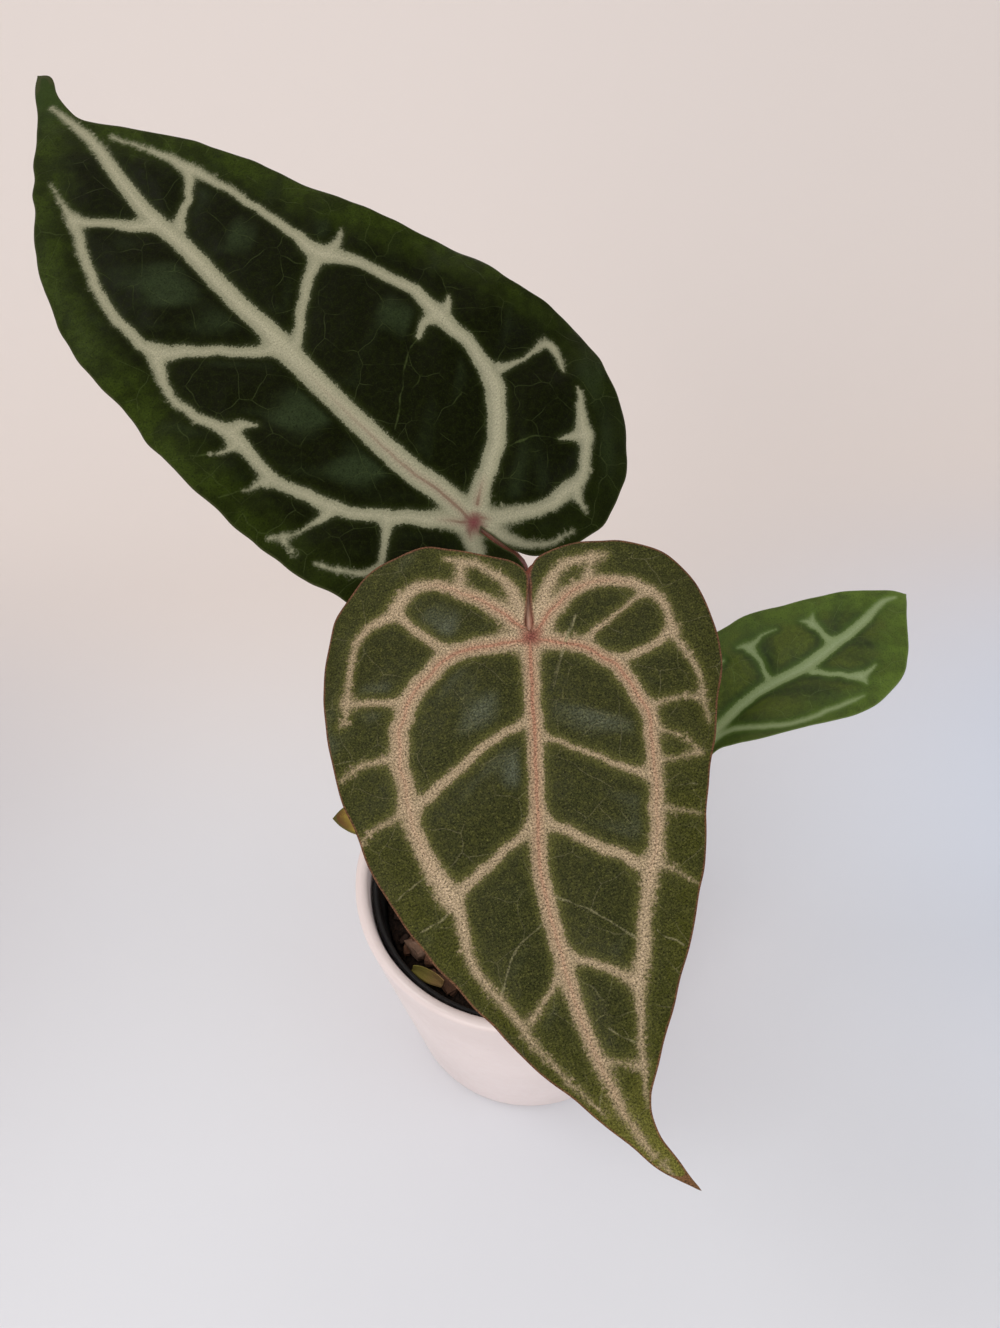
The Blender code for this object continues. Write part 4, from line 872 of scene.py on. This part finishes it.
def makeStalks():
    skin = stalkMaterial()
    make = stalkMake
    step = make["step"]
    for name, spec in stalks.items():
        leaf = leaves[spec["leaf"]]
        across, along, up = leafAxes(leaf)
        joint = Vector(leaf["joint"])
        arrival = []
        for x, y, z in spec["approach"]:
            height = z + float(bladeForm(leaf, np.array([x], float), np.array([y], float))[0])
            arrival.append(tuple(joint + across * x + along * y + up * height))
        angle = math.radians(spec["footAngle"])
        foot = (make["ring"] * math.cos(angle), make["ring"] * math.sin(angle))
        upright = [(*foot, make["foot"] + rise) for rise in (0, 2.0, 4.0)]
        line = evenPoints(smoothCurve([*upright, *spec["route"], *arrival], curveSteps), step, 3)
        curve = bpy.data.curves.new(name, "CURVE")
        curve.dimensions = "3D"
        curve.bevel_depth = mm
        curve.bevel_resolution = 8
        curve.use_fill_caps = True
        spline = curve.splines.new("POLY")
        spline.points.add(len(line) - 1)
        footRadius, topRadius, kneeRadius = spec["radii"]
        for k, (point, place) in enumerate(zip(spline.points, line)):
            left = (len(line) - 1) * step - k * step
            point.co = (*(place * mm), 1.0)
            radius = topRadius + (footRadius - topRadius) * (1.0 - k / (len(line) - 1)) ** make["taper"]
            knee = math.exp(-((left - make["kneeAt"]) / make["kneeReach"]) ** 2)
            radius += (kneeRadius - topRadius) * knee
            radius *= 1.0 + make["unevenness"] * noise.noise(Vector(place) * 0.25)
            point.radius = radius * min(1.0, 0.25 + left / make["closing"])
        pickOnly(newItem(name, curve))
        bpy.ops.object.convert(target="MESH")
        item = bpy.context.object
        item.data.materials.clear()
        item.data.materials.append(skin)
        item.data.shade_smooth()
        flush, paintedHighlight = [], []
        for v in item.data.vertices:
            away = (v.co / mm - joint).length / make["flushReach"]
            near = spec["flush"] * max(0.0, min(1.0, 1.4 - away))
            flush.append(near)
            # painted highlight where the stalk faces the same way as the blade's upper face
            paintedHighlight.append(near * min(1.0, max(0.0, (v.normal.dot(up) - make["paintedHighlightFrom"]) / 0.1)))
        writeValues(item.data, dict(flush=flush, paintedHighlight=paintedHighlight))
        dress(item, spec["node"])
    print("stalks made")


# Pots

pot = dict(height=76.5, rim=44.5, foot=36.25, wall=3.2, floor=4.5, sides=160, rimRound=1.55,
           edgeRound=2.4, glaze="e7d8d4", shade="d6c6c1", speck="c9bdb4")
liner = dict(bottom=4.8, height=68.0, wall=1.1, clearance=0.9, sides=120, rimRound=0.45,
             edgeRound=1.0, lipIn=0.55, lipDown=1.0, lipRadius=0.85, black="0e0d0d", dust="3a322c")


def potRadius(z):
    return pot["foot"] + (pot["rim"] - pot["foot"]) * z / pot["height"]


def linerRadius(z):
    return potRadius(z) - pot["wall"] - liner["clearance"]


def activePiece(name):
    # the primitive that was just added, named, with its place applied
    item = bpy.context.object
    item.name = name
    item.data.name = name
    bpy.ops.object.transform_apply(location=True, rotation=True, scale=True)
    return item


@contextmanager
def editing(item):
    # in edit mode with nothing picked, to pick vertices or faces
    bpy.ops.mesh.select_all(action="DESELECT")
    bm = bmesh.from_edit_mesh(item.data)
    yield bm
    bmesh.update_edit_mesh(item.data)


def newCylinder(name, sides, radius, low, top):
    bpy.ops.mesh.primitive_cylinder_add(vertices=sides, radius=radius * mm, depth=(top - low) * mm,
                                        location=(0, 0, (top + low) / 2 * mm))
    return activePiece(name)


def applyModifier(item, modifier, sharp):
    pickOnly(item)
    bpy.ops.object.modifier_apply(modifier=modifier.name)
    bpy.ops.object.shade_smooth_by_angle(angle=math.radians(sharp))


def makeCup(name, radius, spec, low, top):
    # a tapered cup: cylinder, tapered, its top inset and pushed down to the floor, then rounded
    near = 0.01
    floor = low + spec.get("floor", spec["wall"])
    item = newCylinder(name, spec["sides"], radius(top), low, top)
    bpy.ops.object.mode_set(mode="EDIT")
    with editing(item) as bm:
        bm.select_mode = {"VERT"}
        for v in bm.verts:
            v.select = v.co.z / mm < low + near
        bm.select_flush_mode()
    taper = radius(low) / radius(top)
    bpy.ops.transform.resize(value=(taper, taper, 1), center_override=(0, 0, 0))
    with editing(item) as bm:
        for f in bm.faces:
            f.select = f.normal.z > 0.9
    bpy.ops.mesh.inset(thickness=spec["wall"] * mm)
    bpy.ops.mesh.extrude_region_move(TRANSFORM_OT_translate={"value": (0, 0, (floor - top) * mm)})
    taper = (radius(floor) - spec["wall"]) / (radius(top) - spec["wall"])
    bpy.ops.transform.resize(value=(taper, taper, 1), center_override=(0, 0, 0))
    bpy.ops.mesh.select_all(action="SELECT")
    bpy.ops.mesh.normals_make_consistent(inside=False)
    bpy.ops.object.mode_set(mode="OBJECT")
    with openMesh(item.data) as bm:
        layer = bm.edges.layers.float.new("bevel_weight_edge")
        for e in bm.edges:
            a, b = (v.co / mm for v in e.verts)
            if abs(a.z - b.z) < near and abs(math.hypot(a.x, a.y) - math.hypot(b.x, b.y)) < near:
                if abs(a.z - top) < near:
                    e[layer] = 1.0
                elif min(abs(a.z - low), abs(a.z - floor)) < near:
                    e[layer] = spec["edgeRound"] / spec["rimRound"]
    bevel = item.modifiers.new("rounding", "BEVEL")
    bevel.limit_method = "WEIGHT"
    bevel.width = spec["rimRound"] * mm
    bevel.segments = 6
    applyModifier(item, bevel, 30)
    return item


def glazeMaterial():
    made = newMaterial("whiteGlaze", {"Coat Weight": 0.25, "Coat Roughness": 0.18,
                                      "Specular IOR Level": 0.5})
    place = objectPlace(made)
    cloud = noiseAt(place, 28)
    fine = noiseAt(place, 420, 3.0, 0.6)
    colour = mix(fade(cloud, 0.35, 0.7, 0.0, 0.5), pot["glaze"], pot["shade"])
    specks = fade(cellsAt(place, 330), 0.06, 0.16, 0.5, 0.0) * fade(noiseAt(place, 210, 1.0), 0.62, 0.7)
    colour = mix(specks, colour, pot["speck"])
    return finishMaterial(made, colour, fade(fine, 0.3, 0.7, 0.34, 0.46), fine + cloud * 2.0, 0.12, 0.0002)


def linerMaterial():
    made = newMaterial("blackPlastic", {"Specular IOR Level": 0.25})
    place = objectPlace(made)
    dust = noiseAt(place, 120, 4.0, 0.65)
    colour = mix(fade(dust, 0.45, 0.75, 0.0, 0.35), liner["black"], liner["dust"])
    scuffs = noiseAt(place, 900, 2.0)
    return finishMaterial(made, colour, fade(dust, 0.3, 0.7, 0.38, 0.7), scuffs, 0.2, 0.0001)


def makePots():
    cup = makeCup("whitePot", potRadius, pot, 0.0, pot["height"])
    cup.data.materials.append(glazeMaterial())
    dress(cup, "cover_pot")

    top = liner["bottom"] + liner["height"]
    thin = makeCup("growPot", linerRadius, liner, liner["bottom"], top)
    # a rolled lip round the top
    bpy.ops.mesh.primitive_torus_add(
        major_radius=(linerRadius(top) - liner["lipIn"]) * mm, minor_radius=liner["lipRadius"] * mm,
        major_segments=liner["sides"], minor_segments=14, location=(0, 0, (top - liner["lipDown"]) * mm))
    lip = activePiece("lip")
    bpy.ops.object.shade_smooth()
    pickOnly(thin)
    lip.select_set(True)
    bpy.ops.object.join()
    thin.data.materials.append(linerMaterial())
    dress(thin, "nursery_pot")
    print("pots made")


# Soil

soil = dict(level=65.2, bottom=60, radius=37.6, grid=150, crumbs=1.1, crumbScale=0.35, sink=0.6,
            chips=430, shapes=6, seed=5, size=(1.5, 4.6), clear=8.0, inset=8.6, lift=(-0.9, 0.7),
            tilt=(0.35, 0.3), peat="1d140d", dark="34231a", brown="5b3d2b", pale="9a7e6a")


def soilHeight(x, y):
    swell = math.sin(x / 9.0 + 0.6) * math.cos(y / 8.0 - 0.4) + 0.5 * math.sin((x + y) / 5.0)
    rim = max(0.0, math.hypot(x, y) - 30.0) / 8.0
    return soil["level"] + 0.8 * swell - 1.4 * rim


def peatMaterial():
    made = newMaterial("peat", {"Specular IOR Level": 0.2})
    place = objectPlace(made)
    crumbs = noiseAt(place, 900, 5.0, 0.7)
    clods = noiseAt(place, 220)
    colour = mix(fade(crumbs, 0.4, 0.7), soil["peat"], soil["dark"])
    colour = mix(fade(clods, 0.6, 0.75, 0, 0.5), colour, soil["brown"])
    return finishMaterial(made, colour, fade(crumbs, 0.3, 0.7, 0.95, 0.8), crumbs + clods, 0.9, 0.0012)


def barkMaterial():
    made = newMaterial("bark", {"Specular IOR Level": 0.25})
    place = objectPlace(made)
    tone = attribute(made.node_tree, "chipTone")
    grain = noiseAt(stretch(place, (1, 0.35, 1)), 1100, 4.0, 0.65, 0.6)
    flakes = noiseAt(place, 380)
    colour = mix(fade(tone, 0.2, 0.75), soil["dark"], soil["brown"])
    for amount, name in ((fade(tone, 0.78, 0.96, 0.0, 0.85), "pale"),
                         (fade(grain, 0.5, 0.75, 0.0, 0.6), "peat"),
                         (fade(flakes, 0.55, 0.8, 0.0, 0.4), "pale")):
        colour = mix(amount, colour, soil[name])
    return finishMaterial(made, colour, fade(grain, 0.3, 0.7, 0.9, 0.7), grain + flakes, 0.8, 0.0006)


def makeBed():
    # a grid cut round, raised by crumbs and clods, with a skirt drawn down from its rim
    bpy.ops.mesh.primitive_grid_add(x_subdivisions=soil["grid"], y_subdivisions=soil["grid"],
                                    size=soil["radius"] * 2 * mm)
    bed = activePiece("soilBed")
    with openMesh(bed.data) as bm:
        outside = [v for v in bm.verts if v.co.xy.length > soil["radius"] * mm]
        bmesh.ops.delete(bm, geom=outside, context="VERTS")
        for v in bm.verts:
            x, y = v.co.x / mm, v.co.y / mm
            rough = noise.fractal(Vector((x, y, 3.0)) * soil["crumbScale"], 0.8, 2.0, 4)
            v.co.z = (soilHeight(x, y) + soil["crumbs"] * rough - soil["sink"]) * mm
        rim = [e for e in bm.edges if e.is_boundary]
        for v in bmesh.ops.extrude_edge_only(bm, edges=rim)["geom"]:
            if isinstance(v, bmesh.types.BMVert):
                v.co.z = soil["bottom"] * mm
        bmesh.ops.recalc_face_normals(bm, faces=bm.faces)
    bed.data.shade_smooth()
    bed.data.materials.append(peatMaterial())
    dress(bed, "soil")


def chipShapes(draw, count):
    # bark chips modelled once each, to be copied all over the bed
    shapes = []
    for k in range(count):
        bpy.ops.mesh.primitive_cube_add(size=2.0)
        chip = activePiece("chip")
        bpy.ops.object.mode_set(mode="EDIT")
        bpy.ops.mesh.subdivide(number_cuts=2)
        bpy.ops.object.mode_set(mode="OBJECT")
        flat = draw.uniform(0.28, 0.5)
        for v in chip.data.vertices:
            p = v.co.normalized() * 0.45 + v.co * 0.55
            jag = steadyNoise(v.co * 1.3 + Vector((k * 7.1, 0, 0)))
            v.co = Vector((p.x, p.y * draw.uniform(0.56, 0.64), p.z * flat)) + jag * 0.2
        shapes.append(chip.data.copy())
        bpy.data.objects.remove(chip, do_unlink=True)
    return shapes


def makeChips():
    draw = random.Random(soil["seed"])
    shapes = chipShapes(draw, soil["shapes"])
    forward, sideways = soil["tilt"]
    joined = bmesh.new()
    tone = joined.verts.layers.float.new("chipTone")
    golden = math.pi * (3.0 - math.sqrt(5.0))
    for k in range(soil["chips"]):
        size = draw.uniform(*soil["size"]) if k % 3 else soil["size"][0]
        reach = soil["clear"] + (soil["radius"] - soil["inset"] - size) * math.sqrt((k + 0.5) / soil["chips"])
        a = golden * k + draw.uniform(-0.2, 0.2)
        x, y = reach * math.cos(a), reach * math.sin(a)
        turn = (Matrix.Rotation(draw.uniform(0, math.tau), 4, "Z")
                @ Matrix.Rotation(draw.gauss(0, forward), 4, "X")
                @ Matrix.Rotation(draw.gauss(0, sideways), 4, "Y"))
        lift = soilHeight(x, y) + draw.uniform(*soil["lift"])
        place = Matrix.Translation(Vector((x, y, lift)) * mm) @ turn @ Matrix.Scale(size * mm, 4)
        before = len(joined.verts)
        joined.from_mesh(shapes[k % len(shapes)])
        joined.verts.ensure_lookup_table()
        shade = draw.random()
        for v in joined.verts[before:]:
            v.co = place @ v.co
            v[tone] = shade
    data = bpy.data.meshes.new("barkChips")
    joined.to_mesh(data)
    joined.free()
    data.shade_smooth()
    data.set_sharp_from_angle(angle=math.radians(35))
    data.materials.append(barkMaterial())
    chips = newItem("barkChips", data)
    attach(chips, "root")
    print("soil made", len(data.polygons), "chip faces")


# Stem and sheaths

crown = dict(top=74.2, bottom=60, radius=5.8, sides=48, cuts=30, rings=1.75, shoulder=72.5,
             green="6b7040", brown="6d5638", ring="453421")
sheaths = dict(rows=26, columns=14, thickness=0.35, ring=6.85, foot=68.5, scrapTurn=146,
               scrapPlace=(-26.2, -24.2, 66.9), scrapLength=9.4, scrapHalf=1.5,
               tan="8f7048", pale="b89b6c", green="857a36", brown="4f3a22", scrap="8a6e42")


def crownMaterial():
    made = newMaterial("crownSkin", {"Specular IOR Level": 0.35})
    place = objectPlace(made)
    skin = noiseAt(place, 300, 4.0)
    bands = noiseAt(stretch(place, (0.2, 0.2, 1)), 900, 2.0)
    colour = mix(fade(axis(place, "Z"), 66 * mm, 73 * mm), crown["brown"], crown["green"])
    colour = mix(fade(bands, 0.5, 0.7, 0, 0.7), colour, crown["ring"])
    colour = mix(fade(skin, 0.5, 0.8, 0, 0.4), colour, crown["brown"])
    return finishMaterial(made, colour, fade(skin, 0.3, 0.7, 0.5, 0.75), skin + bands, 0.5, 0.0005)


def paperyGroup():
    # dry or fading sheath: long fibres, darker towards one end
    group, g = newGroup("papery", ("near", "far", "fibre"))
    flat = signal(group, "ShaderNodeUVMap", "UV", uv_map="sheathUv")
    fibres = noiseAt(stretch(flat, (1, 0.06, 1)), 38, 4.0, 0.6)
    share = fade(axis(flat, "Y") + noiseAt(flat, 5) * 0.5, 0.35, 1.0)
    colour = mix(share, g["near"], g["far"])
    colour = mix(fade(fibres, 0.48, 0.7, 0.0, 0.75), colour, g["fibre"])
    return finishGroup(group, colour, fade(fibres, 0.3, 0.7, 0.8, 0.6), fibres)


def paperyMaterial(name, group, near, far):
    made = newMaterial(name, {"Specular IOR Level": 0.3})
    look = dict(near=sheaths[near], far=sheaths[far], fibre=sheaths["brown"])
    return groupMaterial(made, group, look, 0.6, 0.0004)


def makeSheet(name, place):
    # a thin curved scale from a function that gives each point's place in mm. Solidify gives it
    # its thickness
    rows, columns = sheaths["rows"], sheaths["columns"]
    bm = bmesh.new()
    uv = bm.loops.layers.uv.new("sheathUv")
    grid = [[bm.verts.new(Vector(place(i / columns, j / rows)) * mm) for i in range(columns + 1)]
            for j in range(rows + 1)]
    for j in range(rows):
        for i in range(columns):
            corners = ((i, j), (i + 1, j), (i + 1, j + 1), (i, j + 1))
            face = bm.faces.new([grid[b][a] for a, b in corners])
            for loop, (u, v) in zip(face.loops, corners):
                loop[uv].uv = (u / columns, v / rows)
    bmesh.ops.remove_doubles(bm, verts=bm.verts, dist=2e-6)
    bmesh.ops.recalc_face_normals(bm, faces=bm.faces)
    data = bpy.data.meshes.new(name)
    bm.to_mesh(data)
    bm.free()
    item = newItem(name, data)
    thick = item.modifiers.new("thickness", "SOLIDIFY")
    thick.thickness = sheaths["thickness"] * mm
    thick.offset = 0
    applyModifier(item, thick, 50)
    return item


def clasping(angle, height, half, lean):
    # a pointed scale that clasps the stem
    def place(u, v):
        spread = half * (1.0 - v ** 2.2) + 1.5
        out = sheaths["ring"] + lean * v * v + 0.25 * math.sin(9 * u + 5 * v)
        a = math.radians(angle + spread * (2 * u - 1))
        ragged = 0.5 * noise.noise(Vector((u * 4, angle, 0))) * v
        rise = sheaths["foot"] + (height - 0.6) * v + ragged
        return out * math.cos(a), out * math.sin(a), rise
    return place


def fallen(u, t):
    # the curled scrap, which rests on two bark chips with one end down
    s = 2 * u - 1
    half = sheaths["scrapHalf"] * math.sin(math.pi * (0.12 + 0.80 * t)) ** 0.7
    x, y = (t - 0.5) * sheaths["scrapLength"], s * half
    turn = math.radians(sheaths["scrapTurn"])
    middleX, middleY, level = sheaths["scrapPlace"]
    curl = 0.8 * s * s - 0.35 * s + (t - 0.5) ** 2 + 0.15 * math.sin(8 * t)
    z = level + curl - 8.0 * max(0.0, t - 0.62) ** 2
    return (x * math.cos(turn) - y * math.sin(turn) + middleX,
            x * math.sin(turn) + y * math.cos(turn) + middleY, z)


def makeCrown():
    item = newCylinder("shortStem", crown["sides"], crown["radius"], crown["bottom"], crown["top"])
    with openMesh(item.data) as bm:
        sides = [e for e in bm.edges if abs(e.verts[0].co.z - e.verts[1].co.z) > 0.01]
        bmesh.ops.subdivide_edges(bm, edges=sides, cuts=crown["cuts"])
        for v in bm.verts:
            z = v.co.z / mm
            ring = 0.45 * max(0.0, math.sin(z * crown["rings"])) ** 6
            wobble = 1.0 + 0.03 * noise.noise(v.co / mm * 0.3)
            shrink = 1.0 - 0.14 * max(0.0, (z - crown["shoulder"]) / 1.7) ** 2
            v.co.xy = v.co.xy * (wobble * shrink + ring * 0.05)
    bpy.ops.object.shade_smooth_by_angle(angle=math.radians(50))
    item.data.materials.append(crownMaterial())
    dress(item, "stem")

    group = paperyGroup()
    dry = paperyMaterial("drySheath", group, "tan", "pale")
    fading = paperyMaterial("fadingSheath", group, "scrap", "green")
    for name, node, place, finish in (
            ("tallSheath", "sheath_1", clasping(115, 21.0, 30.0, 1.6), dry),
            ("lowSheath", "sheath_2", clasping(205, 17.0, 26.0, 2.4), dry),
            ("fallenSheath", "shed_sheath", fallen, fading)):
        sheet = makeSheet(name, place)
        sheet.data.materials.append(finish)
        dress(sheet, node)
    print("crown made")


# Floor and backdrop

# the sweep is cool on the floor, with a painted warm light tint up the back, a painted blue light on the
# right and painted shade on the left
backdrop = dict(width=7.0, front=-3.0, back=0.55, height=1.6, bend=0.35, steps=24,
                warm="dfd5cf", cool="dedfe3", blue="c5d0e2", dim="c2bec0")


def makeBackdrop():
    start, bend, steps = backdrop["back"] - backdrop["bend"], backdrop["bend"], backdrop["steps"]
    profile = [(backdrop["front"], 0.0), (start, 0.0)]
    for k in range(1, steps + 1):
        a = math.pi / 2 * k / steps
        profile.append((start + bend * math.sin(a), bend * (1 - math.cos(a))))
    profile.append((backdrop["back"], backdrop["height"]))
    half = backdrop["width"] / 2
    verts = [(x, y, z) for y, z in profile for x in (-half, half)]
    faces = [(2 * k, 2 * k + 1, 2 * k + 3, 2 * k + 2) for k in range(len(profile) - 1)]
    data = bpy.data.meshes.new("backdrop")
    data.from_pydata(verts, [], faces)
    data.shade_smooth()
    made = newMaterial("palePaper", {"Roughness": 0.85, "Specular IOR Level": 0.2})
    place = objectPlace(made)
    across = axis(place, "X")
    away = axis(place, "Y")
    # painted light on the sweep: a warm tint towards the back, blue light to the right and shade to the left
    colour = mix(fade(away, 0.03, 0.2), backdrop["cool"], backdrop["warm"])
    middle = fade(calc("ABSOLUTE", away - 0.06), 0.02, 0.2, 1, 0)
    colour = mix(fade(across, 0.02, 0.24, 0.0, 0.7) * middle, colour, backdrop["blue"])
    colour = mix(fade(across, -0.08, -0.26, 0.0, 0.75) * middle, colour, backdrop["dim"])
    setInputs(made.node_tree, made.node_tree.nodes["Principled BSDF"], {"Base Color": colour})
    data.materials.append(made)
    item = newItem("backdrop", data)


makeCamera()
makeLights()
makeBackdrop()
print("stage made")
makePots()
makeBed()
makeChips()
makeCrown()
makeStalks()
makeLeaves()
